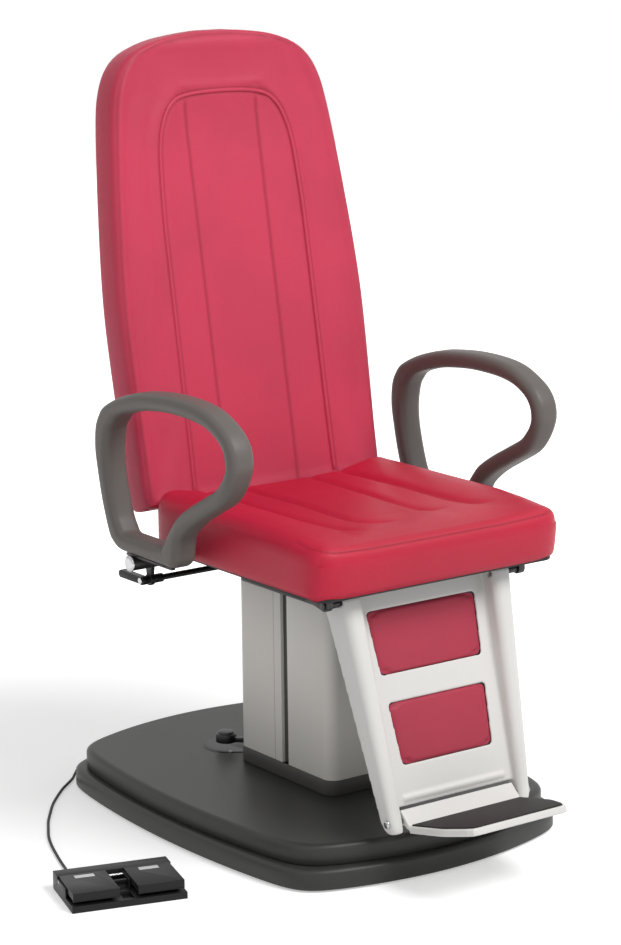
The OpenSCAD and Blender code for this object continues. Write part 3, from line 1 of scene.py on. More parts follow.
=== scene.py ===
"""Ophthalmic examination chair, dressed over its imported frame.

Every length below is in millimetres, in the frame's own axes: the column turns about Z, the
floor is at nought, and the sitter looks towards -Y. A piece is scaled to metres as it is made.
"""

import json
import math

import bmesh
import bpy
import numpy as np
from bpy.props import FloatProperty, FloatVectorProperty, PointerProperty
from mathutils import Matrix, Vector


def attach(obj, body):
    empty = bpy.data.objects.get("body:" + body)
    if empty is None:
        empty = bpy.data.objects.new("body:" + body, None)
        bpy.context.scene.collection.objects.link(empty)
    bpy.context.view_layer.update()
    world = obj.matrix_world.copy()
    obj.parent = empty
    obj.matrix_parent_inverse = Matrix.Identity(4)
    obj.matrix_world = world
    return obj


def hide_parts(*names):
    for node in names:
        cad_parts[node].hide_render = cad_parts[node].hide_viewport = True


bl_info = {
    "name": "Examination Chair",
    "version": (1, 0, 0),
    "blender": (4, 5, 0),
    "location": "View3D > Sidebar > Chair",
    "description": "Dresses the frame of an ophthalmic examination chair",
    "category": "Add Mesh",
}

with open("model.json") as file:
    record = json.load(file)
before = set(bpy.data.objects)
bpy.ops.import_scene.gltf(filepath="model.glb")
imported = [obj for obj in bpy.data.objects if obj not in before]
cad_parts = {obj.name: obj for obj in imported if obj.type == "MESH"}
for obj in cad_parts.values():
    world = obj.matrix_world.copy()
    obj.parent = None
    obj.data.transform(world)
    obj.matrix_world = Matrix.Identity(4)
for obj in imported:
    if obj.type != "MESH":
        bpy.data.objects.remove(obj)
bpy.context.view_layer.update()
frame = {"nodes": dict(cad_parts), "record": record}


# Sizes and colours


def length(name, description, default, low, high):
    """A size in metres, given in millimetres."""
    return FloatProperty(
        name=name, description=description, default=default / 1000, min=low / 1000,
        max=high / 1000, subtype="DISTANCE", unit="LENGTH", precision=4)


def tone(name, description, red, green, blue):
    """A colour given as it shows on a screen, from 0 to 255."""
    linear = [((c / 255 + 0.055) / 1.055) ** 2.4 if c > 10 else c / 255 / 12.92
              for c in (red, green, blue)]
    return FloatVectorProperty(
        name=name, description=description, default=linear, size=3, min=0, max=1, subtype="COLOR")


def power(name, description, default):
    """Strength of a light."""
    return FloatProperty(name=name, description=description, default=default, min=0)


class CushionSizes(bpy.types.PropertyGroup):
    """Sizes of the upholstered pieces."""
    cell: length("Grid", "Spacing of the cushions' points before they are blown up", 9, 6, 14)
    seat_swell: length("Seat swell", "How far the seat's leather may move out", 8, 2, 14)
    back_swell: length("Back swell", "How far the back's leather may move out", 7, 2, 14)
    groove: length("Groove depth", "Depth of the sewn channels in the seat", 4.5, 1, 8)
    seam: length("Seam depth", "Depth of a sewn seam", 2.0, 0.5, 4)
    welt: length("Welt width", "Width of the raised strip round the back's panel", 7, 4, 12)
    stitch: length("Stitch pitch", "Distance from one stitch to the next", 4.2, 2, 8)
    thread: length("Thread", "Thickness of the sewing thread", 0.7, 0.3, 1.5)


class ChairColours(bpy.types.PropertyGroup):
    """Colours of the chair's finishes."""
    # painted light: the back's red is set lighter and pinker than the seat's, for the light that
    # falls on its face
    back: tone("Back leather", "Rose red leather of the back", 200, 52, 82)
    seat: tone("Seat leather", "Deep red leather of the seat", 194, 14, 54)
    pad: tone("Leg pads", "Red upholstery of the leg pads", 174, 50, 72)
    arm: tone("Arms", "Taupe grey of the arms' skinned foam", 100, 95, 91)
    base: tone("Base covers", "Dark grey of the moulded base covers", 54, 55, 52)
    column: tone("Column", "Light warm grey of the column's covers", 230, 226, 220)
    skirt: tone("Skirt", "Dark grey of the column's skirt and strips", 76, 75, 72)
    panel: tone("Leg panel", "Off-white of the leg panel and footplate", 222, 220, 217)
    mat: tone("Mat", "Dark rubber of the footplate's mat", 40, 36, 35)
    black: tone("Black parts", "Black of the foot switch, brackets and pan", 21, 21, 22)


class StageSizes(bpy.types.PropertyGroup):
    """Light round the chair."""
    key: power("Key light", "Power of the large lamp in front", 135)
    fill: power("Fill light", "Power of the lamp on the left", 12)
    sky: power("Room light", "Strength of the light from all round", 0.44)


def sizes():
    return bpy.context.scene.chair_cushions


def colours():
    return bpy.context.scene.chair_colours


# Finishes


def plug(tree, entry, term):
    """Give one entry of a node its value or its link."""
    if isinstance(term, Wire):
        tree.links.new(term.socket, entry)
    elif isinstance(term, (int, float)):
        if entry.type == "RGBA":
            entry.default_value = (term, term, term, 1)
        elif entry.type == "VECTOR":
            entry.default_value = (term, term, term)
        else:
            entry.default_value = term
    else:
        entry.default_value = (*term, 1) if entry.type == "RGBA" and len(term) == 3 else term


class Wire:
    """One output in a shader tree, which takes part in plain arithmetic."""

    def __init__(self, tree, socket):
        self.tree, self.socket = tree, socket

    def _math(self, operation, *terms):
        node = self.tree.nodes.new("ShaderNodeMath")
        node.operation = operation
        for entry, term in zip(node.inputs, terms):
            plug(self.tree, entry, term)
        return Wire(self.tree, node.outputs[0])

    def __add__(self, other):
        return self._math("ADD", self, other)

    def __sub__(self, other):
        return self._math("SUBTRACT", self, other)

    def __rsub__(self, other):
        return self._math("SUBTRACT", other, self)

    def __mul__(self, other):
        return self._math("MULTIPLY", self, other)

    def __abs__(self):
        return self._math("ABSOLUTE", self)

    __radd__ = __add__
    __rmul__ = __mul__

    def most(self, other):
        return self._math("MAXIMUM", self, other)

    def wave(self):
        return self._math("SINE", self)


# A Mix node keeps sockets of every kind: these are the factor and the two colours, and the result
MIX_ENTRIES, MIX_RESULT = (0, 6, 7), 2


class Finish:
    """One material, put together node by node."""

    def __init__(self, name):
        self.material = bpy.data.materials.new(name)
        self.material.use_nodes = True
        self.tree = self.material.node_tree
        self.tree.nodes.clear()
        self.place = self.node("ShaderNodeTexCoord", {}, {}, "Object")

    def node(self, kind, settings, values, output=0):
        """Any node: its settings are set first, then the values or links of its sockets."""
        node = self.tree.nodes.new(kind)
        for key, value in settings.items():
            if key == "stops":
                ramp = node.color_ramp
                while len(ramp.elements) < len(value):
                    ramp.elements.new(0.5)
                for element, (place, colour) in zip(ramp.elements, value):
                    element.position, element.color = place, (*colour, 1)
            else:
                setattr(node, key, value)
        for key, value in values.items():
            plug(self.tree, node.inputs[key], value)
        return Wire(self.tree, node.outputs[output])

    def stretched(self, x, y, z):
        """The piece's own coordinates, drawn out along an axis."""
        return self.node("ShaderNodeMapping", {}, {"Vector": self.place, "Scale": (x, y, z)})

    def noise(self, scale, detail=2.0, rough=0.5, place=None):
        return self.node("ShaderNodeTexNoise", {}, {
            "Vector": place or self.place, "Scale": scale, "Detail": detail,
            "Roughness": rough}, "Fac")

    def cells(self, scale, place):
        """Distance from the walls between rounded cells."""
        return self.node("ShaderNodeTexVoronoi", {"feature": "DISTANCE_TO_EDGE"}, {
            "Vector": place, "Scale": scale}, "Distance")

    def apart(self, axis):
        return self.node("ShaderNodeSeparateXYZ", {}, {"Vector": self.place}, axis)

    def band(self, value, low, high):
        """Smooth step from nought at low to one at high."""
        return self.node("ShaderNodeMapRange", {"interpolation_type": "SMOOTHSTEP"}, {
            "Value": value, "From Min": low, "From Max": high}, "Result")

    def blend(self, share, first, second):
        """Mix of two colours."""
        node = self.tree.nodes.new("ShaderNodeMix")
        node.data_type = "RGBA"
        for entry, term in zip(MIX_ENTRIES, (share, first, second)):
            plug(self.tree, node.inputs[entry], term)
        return Wire(self.tree, node.outputs[MIX_RESULT])

    def attribute(self, name):
        return self.node("ShaderNodeAttribute", {"attribute_name": name}, {}, "Fac")

    def bump(self, height, depth):
        return self.node("ShaderNodeBump", {}, {
            "Height": height, "Strength": 1.0, "Distance": depth})

    def close(self, colour, rough, normal=None, metal=0.0, **fixed):
        """The surface shader, with what varies linked and the rest set on its own sockets."""
        values = {"Base Color": colour, "Roughness": rough, "Metallic": metal}
        if normal:
            values["Normal"] = normal
        values.update({key.replace("_", " "): value for key, value in fixed.items()})
        surface = self.node("ShaderNodeBsdfPrincipled", {}, values, "BSDF")
        self.node_out(surface)
        return self.material

    def node_out(self, surface):
        out = self.tree.nodes.new("ShaderNodeOutputMaterial")
        self.tree.links.new(surface.socket, out.inputs["Surface"])


def shade(colour, factor):
    return tuple(min(1.0, c * factor) for c in colour)


def leather(name, colour, rough, grain):
    """Coated leather: soft folds, a pebbled grain, and painted shade in the seams' grooves."""
    f = Finish(name)
    drift = f.noise(5.0, 3)
    folds = f.noise(34.0, 3, 0.55)
    warp = f.node("ShaderNodeVectorMath", {"operation": "MULTIPLY_ADD"}, {
        0: f.node("ShaderNodeTexNoise", {}, {"Vector": f.place, "Scale": 500.0}, "Color"),
        1: (0.0006, 0.0006, 0.0006), 2: f.place})
    pebbles = f.band(f.cells(1000 / grain, warp), 0.0, 0.22)
    fine = f.noise(2600.0, 2)
    seam = f.attribute("seam")
    body = f.blend(f.band(drift, 0.35, 0.65), shade(colour, 0.94), shade(colour, 1.06))
    body = f.blend((1 - pebbles) * 0.22, body, shade(colour, 0.55))
    # painted shade: the seam attribute darkens the leather in the grooves of the seams
    body = f.blend(seam * 0.6, body, shade(colour, 0.3))
    height = pebbles * 0.5 + fine * 0.2 + folds * 1.6
    return f.close(body, (drift - 0.5) * 0.1 + (1 - pebbles) * 0.1 + rough,
                   f.bump(height, 0.00022), Specular_IOR_Level=0.36, Coat_Weight=0.05,
                   Coat_Roughness=0.3)


def moulding(name, colour, rough, grain=1.2, relief=0.00012, mottle=0.05):
    """Moulded plastic: a fine even texture, with a slow change of tone."""
    f = Finish(name)
    drift = f.noise(4.0, 3)
    texture = f.noise(1000 / grain, 3, 0.6)
    specks = f.noise(2100 / grain, 1)
    body = f.blend(f.band(drift, 0.3, 0.7), shade(colour, 1 - mottle), shade(colour, 1 + mottle))
    body = f.blend(f.band(specks, 0.5, 0.75) * 0.16, body, shade(colour, 1.35))
    # painted shade from the seam attribute, on pieces that carry one
    body = f.blend(f.attribute("seam") * 0.75, body, shade(colour, 0.3))
    return f.close(body, (texture - 0.5) * 0.12 + (drift - 0.5) * 0.08 + rough,
                   f.bump(texture, relief), Specular_IOR_Level=0.3)


def painted_sheet(name, colour, rough, seam_y=None):
    """Powder-coated sheet: orange peel, faint rub marks, and a joint line across seam_y."""
    f = Finish(name)
    drift = f.noise(3.0, 2)
    peel = f.noise(420.0, 2, 0.45)
    rubs = f.noise(60.0, 4, 0.6, f.stretched(1.0, 1.0, 0.08))
    body = f.blend(f.band(drift, 0.3, 0.7), shade(colour, 0.975), shade(colour, 1.025))
    body = f.blend(f.band(rubs, 0.56, 0.8) * 0.1, body, shade(colour, 0.8))
    height = peel * 0.35
    if seam_y is not None:
        line = 1 - f.band(abs(f.apart("Y") - seam_y / 1000), 0.0004, 0.0011)
        body = f.blend(line * 0.5, body, shade(colour, 0.35))
        height = height - line * 2
    return f.close(body, (peel - 0.5) * 0.1 + (rubs - 0.5) * 0.12 + rough, f.bump(height, 0.00025))


def bright_metal(name, colour, rough, brushed=False):
    """Plated or machined steel, with fine marks."""
    f = Finish(name)
    marks = f.noise(900.0, 2, 0.5, f.stretched(0.03, 1.0, 1.0) if brushed else None)
    haze = f.noise(70.0, 3)
    body = f.blend(f.band(haze, 0.35, 0.7), shade(colour, 0.92), colour)
    return f.close(body, (marks - 0.5) * (0.2 if brushed else 0.06) + (haze - 0.5) * 0.1 + rough,
                   f.bump(marks, 0.00004), metal=1.0)


def rubber(name, colour, rough, pitch=3.2, ribs=0.0):
    """Rubber with a dusty bloom, and low pyramids where it is a mat."""
    f = Finish(name)
    bloom = f.noise(14.0, 4, 0.6)
    texture = f.noise(1500.0, 2)
    body = f.blend(f.band(bloom, 0.4, 0.7), shade(colour, 0.88), shade(colour, 1.14))
    height = texture * 0.3
    if ribs:
        across = (f.apart("X") * (2000 * math.pi / pitch)).wave()
        along = (f.apart("Y") * (2000 * math.pi / pitch)).wave()
        height = height + (across.most(-0.2) + along.most(-0.2)) * ribs
    return f.close(body, (texture - 0.5) * 0.1 + rough, f.bump(height, 0.0003),
                   Specular_IOR_Level=0.22)


def finishes():
    """Every finish by the name of its slot in the record."""
    c = colours()
    black = tuple(c.black)
    return {
        "base_paint": moulding("base_paint", tuple(c.base), 0.42),
        "steel_plate": painted_sheet("steel_plate", (0.09, 0.09, 0.09), 0.5),
        "foot_rubber": rubber("foot_rubber", (0.02, 0.02, 0.02), 0.7),
        "zinc_screw": bright_metal("zinc_screw", (0.62, 0.62, 0.6), 0.35, True),
        "bronze": bright_metal("bronze", (0.5, 0.33, 0.16), 0.45),
        "black_plastic": moulding("black_plastic", black, 0.42),
        "black_steel": painted_sheet("black_steel", shade(black, 0.9), 0.4),
        "cable_rubber": rubber("cable_rubber", shade(black, 0.8), 0.45),
        "light_strip": moulding("light_strip", (0.62, 0.62, 0.62), 0.4),
        "skirt_plastic": moulding("skirt_plastic", tuple(c.skirt), 0.45),
        "column_paint": painted_sheet("column_paint", tuple(c.column), 0.42, 34),
        "tube_steel": painted_sheet("tube_steel", (0.16, 0.16, 0.16), 0.45),
        "glide_plastic": moulding("glide_plastic", (0.6, 0.56, 0.45), 0.45),
        "machined_steel": bright_metal("machined_steel", (0.5, 0.5, 0.5), 0.3, True),
        "chrome": bright_metal("chrome", (0.5, 0.5, 0.51), 0.2),
        "cast_alloy": bright_metal("cast_alloy", (0.5, 0.51, 0.52), 0.5),
        "motor_paint": painted_sheet("motor_paint", (0.03, 0.045, 0.06), 0.4),
        "back_leather": leather("back_leather", tuple(c.back), 0.42, 1.3),
        "seat_leather": leather("seat_leather", tuple(c.seat), 0.40, 1.3),
        "shell_plastic": moulding("shell_plastic", shade(black, 1.1), 0.5, 1.8, 0.0002),
        "panel_paint": moulding("panel_paint", tuple(c.panel), 0.36, 1.6, 0.00006, 0.015),
        "pad_leather": leather("pad_leather", tuple(c.pad), 0.46, 1.0),
        "mat_rubber": rubber("mat_rubber", tuple(c.mat), 0.62, 3.2, 0.7),
        "arm_foam": moulding("arm_foam", tuple(c.arm), 0.46, 1.6, 0.00014, 0.04),
        "seat_thread": moulding("seat_thread", shade(tuple(c.seat), 0.3), 0.6),
        "back_thread": moulding("back_thread", shade(tuple(c.back), 0.8), 0.6),
    }


FINISH = {}
SLOT_OF = {part["node"]: part["material_slot"] for part in frame["record"]["subparts"]}
BODY_OF = {node: body for body, nodes in frame["record"]["behaviour"]["bodies"].items()
           for node in nodes}


# Meshes


def piece(name, points, faces, slot, body, replaces=(), angle=40.0, seam=None):
    """A mesh object from points in millimetres, finished and carried by its body."""
    mesh = bpy.data.meshes.new(name)
    mesh.from_pydata((np.asarray(points, float) / 1000).tolist(), [], faces)
    mesh.validate()
    obj = bpy.data.objects.new(name, mesh)
    bpy.context.scene.collection.objects.link(obj)
    mesh.materials.append(FINISH[slot])
    # the seam attribute holds painted shade for the grooves along the seams
    if seam is not None:
        shade_of = mesh.attributes.new("seam", "FLOAT", "POINT").data
        shade_of.foreach_set("value", np.asarray(seam, np.float32))
    return settle(obj, body, replaces, angle)


def settle(obj, body, replaces=(), angle=40.0):
    """Smooth shading, body and the nodes that the piece stands for."""
    if angle:
        obj.data.shade_smooth()
        soften_edges(obj.data, math.radians(angle))
    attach(obj, body)
    if replaces:
        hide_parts(*replaces)
    return obj


def soften_edges(mesh, angle):
    """Mark as sharp each edge whose faces meet at more than the angle."""
    bm = bmesh.new()
    bm.from_mesh(mesh)
    for edge in bm.edges:
        edge.smooth = len(edge.link_faces) == 2 and edge.calc_face_angle(0) <= angle
    bm.to_mesh(mesh)
    bm.free()


def outward(obj):
    """Merge points that coincide and turn every face outwards."""
    bm = bmesh.new()
    bm.from_mesh(obj.data)
    bmesh.ops.remove_doubles(bm, verts=bm.verts, dist=1e-6)
    bmesh.ops.recalc_face_normals(bm, faces=bm.faces)
    bm.to_mesh(obj.data)
    bm.free()


def finished(obj):
    """Turn the evaluated object into a plain mesh and drop its modifiers."""
    graph = bpy.context.evaluated_depsgraph_get()
    mesh = bpy.data.meshes.new_from_object(obj.evaluated_get(graph))
    obj.modifiers.clear()
    obj.data = mesh
    return obj


def scratch(name, points, faces):
    """A bare object for work in progress, in metres."""
    mesh = bpy.data.meshes.new(name)
    mesh.from_pydata((np.asarray(points, float) / 1000).tolist(), [], faces)
    obj = bpy.data.objects.new(name, mesh)
    bpy.context.scene.collection.objects.link(obj)
    return obj


def copy_of(node):
    """A merged copy of a CAD node's mesh, as a new object."""
    mesh = frame["nodes"][node].data.copy()
    obj = bpy.data.objects.new(node + "_dressed", mesh)
    bpy.context.scene.collection.objects.link(obj)
    mesh.materials.clear()
    bm = bmesh.new()
    bm.from_mesh(mesh)
    bmesh.ops.remove_doubles(bm, verts=bm.verts, dist=2e-6)
    bmesh.ops.dissolve_limit(bm, angle_limit=math.radians(0.6), verts=bm.verts, edges=bm.edges)
    bm.to_mesh(mesh)
    bm.free()
    return obj


def painted(obj, node, angle):
    """Give a node's dressed copy the node's own slot, body and place."""
    slot = SLOT_OF[node]
    obj.data.materials.clear()
    obj.data.materials.append(FINISH[slot])
    return settle(obj, BODY_OF[node], (node,), angle)


def dressed(node, edge=0.8, steps=2, angle=35.0):
    """The node's own shape with its sharp edges rounded over."""
    obj = copy_of(node)
    bevel = obj.modifiers.new("edges", "BEVEL")
    bevel.width = edge / 1000
    bevel.segments = steps
    bevel.limit_method = "ANGLE"
    bevel.angle_limit = math.radians(angle)
    bevel.use_clamp_overlap = True
    bevel.harden_normals = False
    return painted(finished(obj), node, 32.0)


def moulded(node, voxel, rounds):
    """The node's shape as one moulding, with every edge and inner corner filleted."""
    obj = copy_of(node)
    remesh = obj.modifiers.new("skin", "REMESH")
    remesh.mode = "VOXEL"
    remesh.voxel_size = voxel / 1000
    remesh.use_smooth_shade = True
    finished(obj)
    fillets = obj.modifiers.new("fillets", "SMOOTH")
    fillets.factor = 0.5
    fillets.iterations = rounds
    return painted(finished(obj), node, 0)


def spline(points, steps, closed=False):
    """Smooth curve through points, with a number of steps between neighbours."""
    p = np.asarray(points, float)
    n = len(p)
    spans = n if closed else n - 1
    out = []
    for i in range(spans):
        a, b, c, d = ((p[(i + k) % n] for k in (-1, 0, 1, 2)) if closed
                      else (p[max(i - 1, 0)], p[i], p[i + 1], p[min(i + 2, n - 1)]))
        for k in range(steps):
            t = k / steps
            out.append((2 * b + (c - a) * t + (2 * a - 5 * b + 4 * c - d) * t ** 2
                        + (3 * b - a - 3 * c + d) * t ** 3) / 2)
    if not closed:
        out.append(p[-1])
    return np.array(out)


def even(points, step):
    """The same line with points at equal distances."""
    p = np.asarray(points, float)
    run = np.concatenate([[0], np.cumsum(np.linalg.norm(np.diff(p, axis=0), axis=1))])
    count = max(2, int(round(run[-1] / step)) + 1)
    at = np.linspace(0, run[-1], count)
    return np.stack([np.interp(at, run, p[:, k]) for k in range(p.shape[1])], 1)


def loft(rings, caps=True, closed=False):
    """Quads between rings of the same number of points; the rings may close on themselves."""
    n, m = len(rings[0]), len(rings)
    points = np.concatenate(rings)
    faces = []
    for j in range(m if closed else m - 1):
        k = (j + 1) % m
        for i in range(n):
            h = (i + 1) % n
            faces.append((j * n + i, j * n + h, k * n + h, k * n + i))
    if caps and not closed:
        faces.append(tuple(range(n - 1, -1, -1)))
        faces.append(tuple(range((m - 1) * n, m * n)))
    return points, faces


def tube(path, radius, sides=12):
    """Round tube along a path, with a radius for each of its points."""
    path = np.asarray(path, float)
    way = np.gradient(path, axis=0)
    way /= np.linalg.norm(way, axis=1)[:, None]
    side = np.cross(way[0], (0, 0, 1))
    if np.linalg.norm(side) < 0.1:
        side = np.cross(way[0], (1, 0, 0))
    rings = []
    radius = np.broadcast_to(radius, len(path))
    for p, w, r in zip(path, way, radius):
        side = side - w * (side @ w)
        side /= np.linalg.norm(side)
        up = np.cross(side, w)
        turn = np.linspace(0, 2 * math.pi, sides, endpoint=False)[:, None]
        rings.append(p + r * (np.cos(turn) * side + np.sin(turn) * up))
    return loft(rings)


def lathe(profile, place, axis, sides, way=1):
    """Turned shape: profile gives (distance along the axis, radius), and way its direction."""
    turn = np.linspace(0, 2 * math.pi, sides, endpoint=False)
    rings = []
    for along, radius in profile:
        a, b = radius * np.cos(turn), radius * np.sin(turn)
        d = np.full(sides, way * along)
        ring = {"X": (d, a, b), "Z": (a, b, d)}[axis]
        rings.append(np.stack(ring, 1) + np.asarray(place, float))
    return loft(rings)


def beads(paths, name, thread, body, pitch, long, thick):
    """A row of stitches along each path, laid by Geometry Nodes and turned into one mesh."""
    verts, edges = [], []
    for path in paths:
        start = len(verts)
        verts += (np.asarray(path) / 1000).tolist()
        edges += [(start + i, start + i + 1) for i in range(len(path) - 1)]
    mesh = bpy.data.meshes.new(name)
    mesh.from_pydata(verts, edges, [])
    obj = bpy.data.objects.new(name, mesh)
    bpy.context.scene.collection.objects.link(obj)
    tree = bpy.data.node_groups.new(name + "_rule", "GeometryNodeTree")
    entry = tree.interface.new_socket
    entry("Geometry", in_out="INPUT", socket_type="NodeSocketGeometry")
    entries = {label: entry(label, in_out="INPUT", socket_type="NodeSocketFloat").identifier
               for label in ("Pitch", "Stitch length", "Thread")}
    entry("Geometry", in_out="OUTPUT", socket_type="NodeSocketGeometry")
    new = tree.nodes.new
    source, out = new("NodeGroupInput"), new("NodeGroupOutput")
    curve, steps = new("GeometryNodeMeshToCurve"), new("GeometryNodeResampleCurve")
    laid = new("GeometryNodeInstanceOnPoints")
    steps.mode = "LENGTH"
    stitch, size = new("GeometryNodeMeshUVSphere"), new("ShaderNodeCombineXYZ")
    stitch.inputs["Segments"].default_value = 6
    stitch.inputs["Rings"].default_value = 4
    stitch.inputs["Radius"].default_value = 0.5
    align, tangent = new("FunctionNodeAlignRotationToVector"), new("GeometryNodeInputTangent")
    align.axis = "X"
    real, coloured = new("GeometryNodeRealizeInstances"), new("GeometryNodeSetMaterial")
    coloured.inputs["Material"].default_value = FINISH[thread]
    for giver, given, taker, taken in (
            (source, "Geometry", curve, "Mesh"), (curve, "Curve", steps, "Curve"),
            (source, "Pitch", steps, "Length"), (steps, "Curve", laid, "Points"),
            (stitch, "Mesh", laid, "Instance"), (tangent, "Tangent", align, "Vector"),
            (align, "Rotation", laid, "Rotation"), (source, "Stitch length", size, "X"),
            (source, "Thread", size, "Y"), (source, "Thread", size, "Z"),
            (size, "Vector", laid, "Scale"), (laid, "Instances", real, "Geometry"),
            (real, "Geometry", coloured, "Geometry"), (coloured, "Geometry", out, "Geometry")):
        tree.links.new(giver.outputs[given], taker.inputs[taken])
    rule = obj.modifiers.new("stitches", "NODES")
    rule.node_group = tree
    for label, value in (("Pitch", pitch), ("Stitch length", long), ("Thread", thick)):
        rule[entries[label]] = value
    finished(obj)
    obj.data.materials.clear()
    obj.data.materials.append(FINISH[thread])
    return settle(obj, body, (), 60.0)


# Shapes of the upholstery


def spaced(low, high, places, fine, coarse, reach):
    """Coordinates that crowd together near some places, and pass through each of them."""
    line = [low]
    while line[-1] < high - 0.3 * fine:
        near = min(abs(line[-1] - p) for p in places)
        line.append(line[-1] + min(coarse, fine + max(0, near - reach) * 0.35))
    line[-1] = high
    line = np.array(line)
    for p in places:
        if low < p < high:
            line[np.abs(line - p).argmin()] = p
    return np.unique(line)


def from_line(x, y, line):
    """Distance of each point from a line, and how far along it the nearest place is."""
    line = np.asarray(line, float)
    best = np.full(np.shape(x), 1e9)
    along = np.zeros(np.shape(x))
    run = 0.0
    for a, b in zip(line[:-1], line[1:]):
        d = b - a
        size = np.hypot(*d)
        t = np.clip(((x - a[0]) * d[0] + (y - a[1]) * d[1]) / size ** 2, 0, 1)
        far = np.hypot(x - a[0] - t * d[0], y - a[1] - t * d[1])
        along = np.where(far < best, run + t * size, along)
        best = np.minimum(best, far)
        run += size
    return best, along / run


def mirrored(line):
    return [(-x, y) for x, y in line]


def table(value, pairs):
    xs, ys = zip(*pairs)
    return np.interp(value, xs, ys)


# Depth of the air behind the leather in millimetres, and the frames that it is blown up in
AIR_DEPTH, BLOW_FRAMES = 60, 20


def swelled(grid, held, pressure, cap, way):
    """Blow a grid of leather up with Cloth between the points that are held.

    The grid is closed behind by a held copy of itself, so that it encloses air. No point may
    move farther than the cap. Returns the grid's new points."""
    nv, nu = grid.shape[:2]
    n = nu * nv
    front = grid.reshape(-1, 3)
    behind = front + np.asarray(way, float) * AIR_DEPTH
    quads = grid_quads(nu, nv)
    faces = quads + [tuple(n + k for k in reversed(q)) for q in quads]
    walk = edge_walk(nu, nv)
    for k, a in enumerate(walk):
        b = walk[(k + 1) % len(walk)]
        faces.append((a, a + n, b + n, b))
    obj = scratch("leather_to_swell", np.concatenate([front, behind]), faces)
    fixed = obj.vertex_groups.new(name="held")
    still = [int(i) for i in np.flatnonzero(held.reshape(-1))] + list(range(n, 2 * n))
    fixed.add(still, 1.0, "REPLACE")
    cloth = obj.modifiers.new("leather", "CLOTH")
    rules = cloth.settings
    rules.vertex_group_mass = "held"
    rules.mass = 0.6
    rules.tension_stiffness = rules.compression_stiffness = 22
    rules.shear_stiffness = 12
    rules.bending_stiffness = 3
    rules.air_damping = 4
    rules.quality = 6
    rules.use_pressure = True
    rules.uniform_pressure_force = pressure
    rules.effector_weights.gravity = 0
    cloth.collision_settings.use_collision = False
    cloth.collision_settings.use_self_collision = False
    cloth.point_cache.frame_start, cloth.point_cache.frame_end = 1, BLOW_FRAMES
    scene = bpy.context.scene
    for step in range(1, BLOW_FRAMES + 1):
        scene.frame_set(step)
    graph = bpy.context.evaluated_depsgraph_get()
    blown = obj.evaluated_get(graph).to_mesh()
    out = np.empty(len(blown.vertices) * 3)
    blown.vertices.foreach_get("co", out)
    bpy.data.objects.remove(obj)
    scene.frame_set(1)
    move = out.reshape(-1, 3)[:n] * 1000 - front
    size = np.linalg.norm(move, axis=1)
    move *= (np.minimum(size, cap) / np.maximum(size, 1e-9))[:, None]
    return (front + move).reshape(grid.shape)


def grid_quads(nu, nv):
    """The faces of a grid of points."""
    return [(j * nu + i, j * nu + i + 1, (j + 1) * nu + i + 1, (j + 1) * nu + i)
            for j in range(nv - 1) for i in range(nu - 1)]


def edge_walk(nu, nv):
    """The points round a grid's edge, in order."""
    return ([i for i in range(nu - 1)] + [j * nu + nu - 1 for j in range(nv - 1)]
            + [(nv - 1) * nu + i for i in range(nu - 1, 0, -1)]
            + [j * nu for j in range(nv - 1, 0, -1)])


def resampled(values, rows, columns, new_rows, new_columns):
    """Smooth interpolation of a grid of values to finer rows and columns."""
    def weights(old, new):
        old, new = np.asarray(old, float), np.asarray(new, float)
        i = np.clip(np.searchsorted(old, new, "right") - 1, 0, len(old) - 2)
        t = (new - old[i]) / (old[i + 1] - old[i])
        w = np.zeros((len(new), len(old)))
        at = np.arange(len(new))
        for offset, f in ((-1, (-t + 2 * t ** 2 - t ** 3) / 2),
                          (0, (2 - 5 * t ** 2 + 3 * t ** 3) / 2),
                          (1, (t + 4 * t ** 2 - 3 * t ** 3) / 2), (2, (-t ** 2 + t ** 3) / 2)):
            np.add.at(w, (at, np.clip(i + offset, 0, len(old) - 1)), f)
        return w
    return np.einsum("ab,bc...,dc->ad...", weights(rows, new_rows), values,
                     weights(columns, new_columns))


def upholstered(name, grid, loops, seam, slot, body, node):
    """Closed piece: the shaped grid, the loops of its sides, and a flat face behind."""
    nv, nu = grid.shape[:2]
    quads = grid_quads(nu, nv)
    walk = edge_walk(nu, nv)
    m = len(walk)
    points = [grid.reshape(-1, 3)] + [np.asarray(loop) for loop in loops]
    upper = walk
    for r in range(len(loops)):
        lower = [nu * nv + r * m + k for k in range(m)]
        quads += [(upper[k], lower[k], lower[(k + 1) % m], upper[(k + 1) % m]) for k in range(m)]
        upper = lower
    quads.append(tuple(reversed(upper)))
    # painted seam shade: none on the sides and the face behind
    seam = np.concatenate([seam.reshape(-1), np.zeros(m * len(loops))])
    return piece(name, np.concatenate(points), quads, slot, body, (node,), 60.0, seam)


# Seat: half width, half length, centre, height of its top and underside
SEAT_HALF, SEAT_LONG, SEAT_MIDDLE = 249.5, 240.0, -98.0
SEAT_TOP, SEAT_LOW = 560.0, 476.6
SEAT_TUCK = 5.8  # the leather is drawn down over the pan's front edge
SEAT_RISE = [
    (0, -4), (66, -3.5), (110, -2.5), (140, -1), (170, 5), (200, 10.5), (222, 12), (250, 10)]
SEAT_FADE = [
    (-338, 0.1), (-300, 0.25), (-250, 0.65), (-190, 0.95), (-100, 1), (142, 1)]
SEAT_GROOVES = [
    [(-143, 140), (-142, 60), (-141, -10), (-138, -102), (-132, -180), (-121, -236), (-104, -272)],
    [(-70, 140), (-69, 50), (-66, -40), (-70, -115), (-70, -182), (-56, -210), (-30, -234),
     (-16, -252)],
    [(71, 140), (70, 35), (67, -50), (62, -130), (63, -180), (76, -206), (106, -218)],
    [(134, 140), (138, 60), (142, -28), (142, -94), (142, -168), (147, -208), (160, -231),
     (186, -248)],
]
SEAT_SEAM = [
    (-234, -262), (-235, -285), (-234, -304), (-230, -317), (-221, -325), (-206, -329),
    (-180, -330.5), (-120, -331), (-60, -331), (0, -331)]


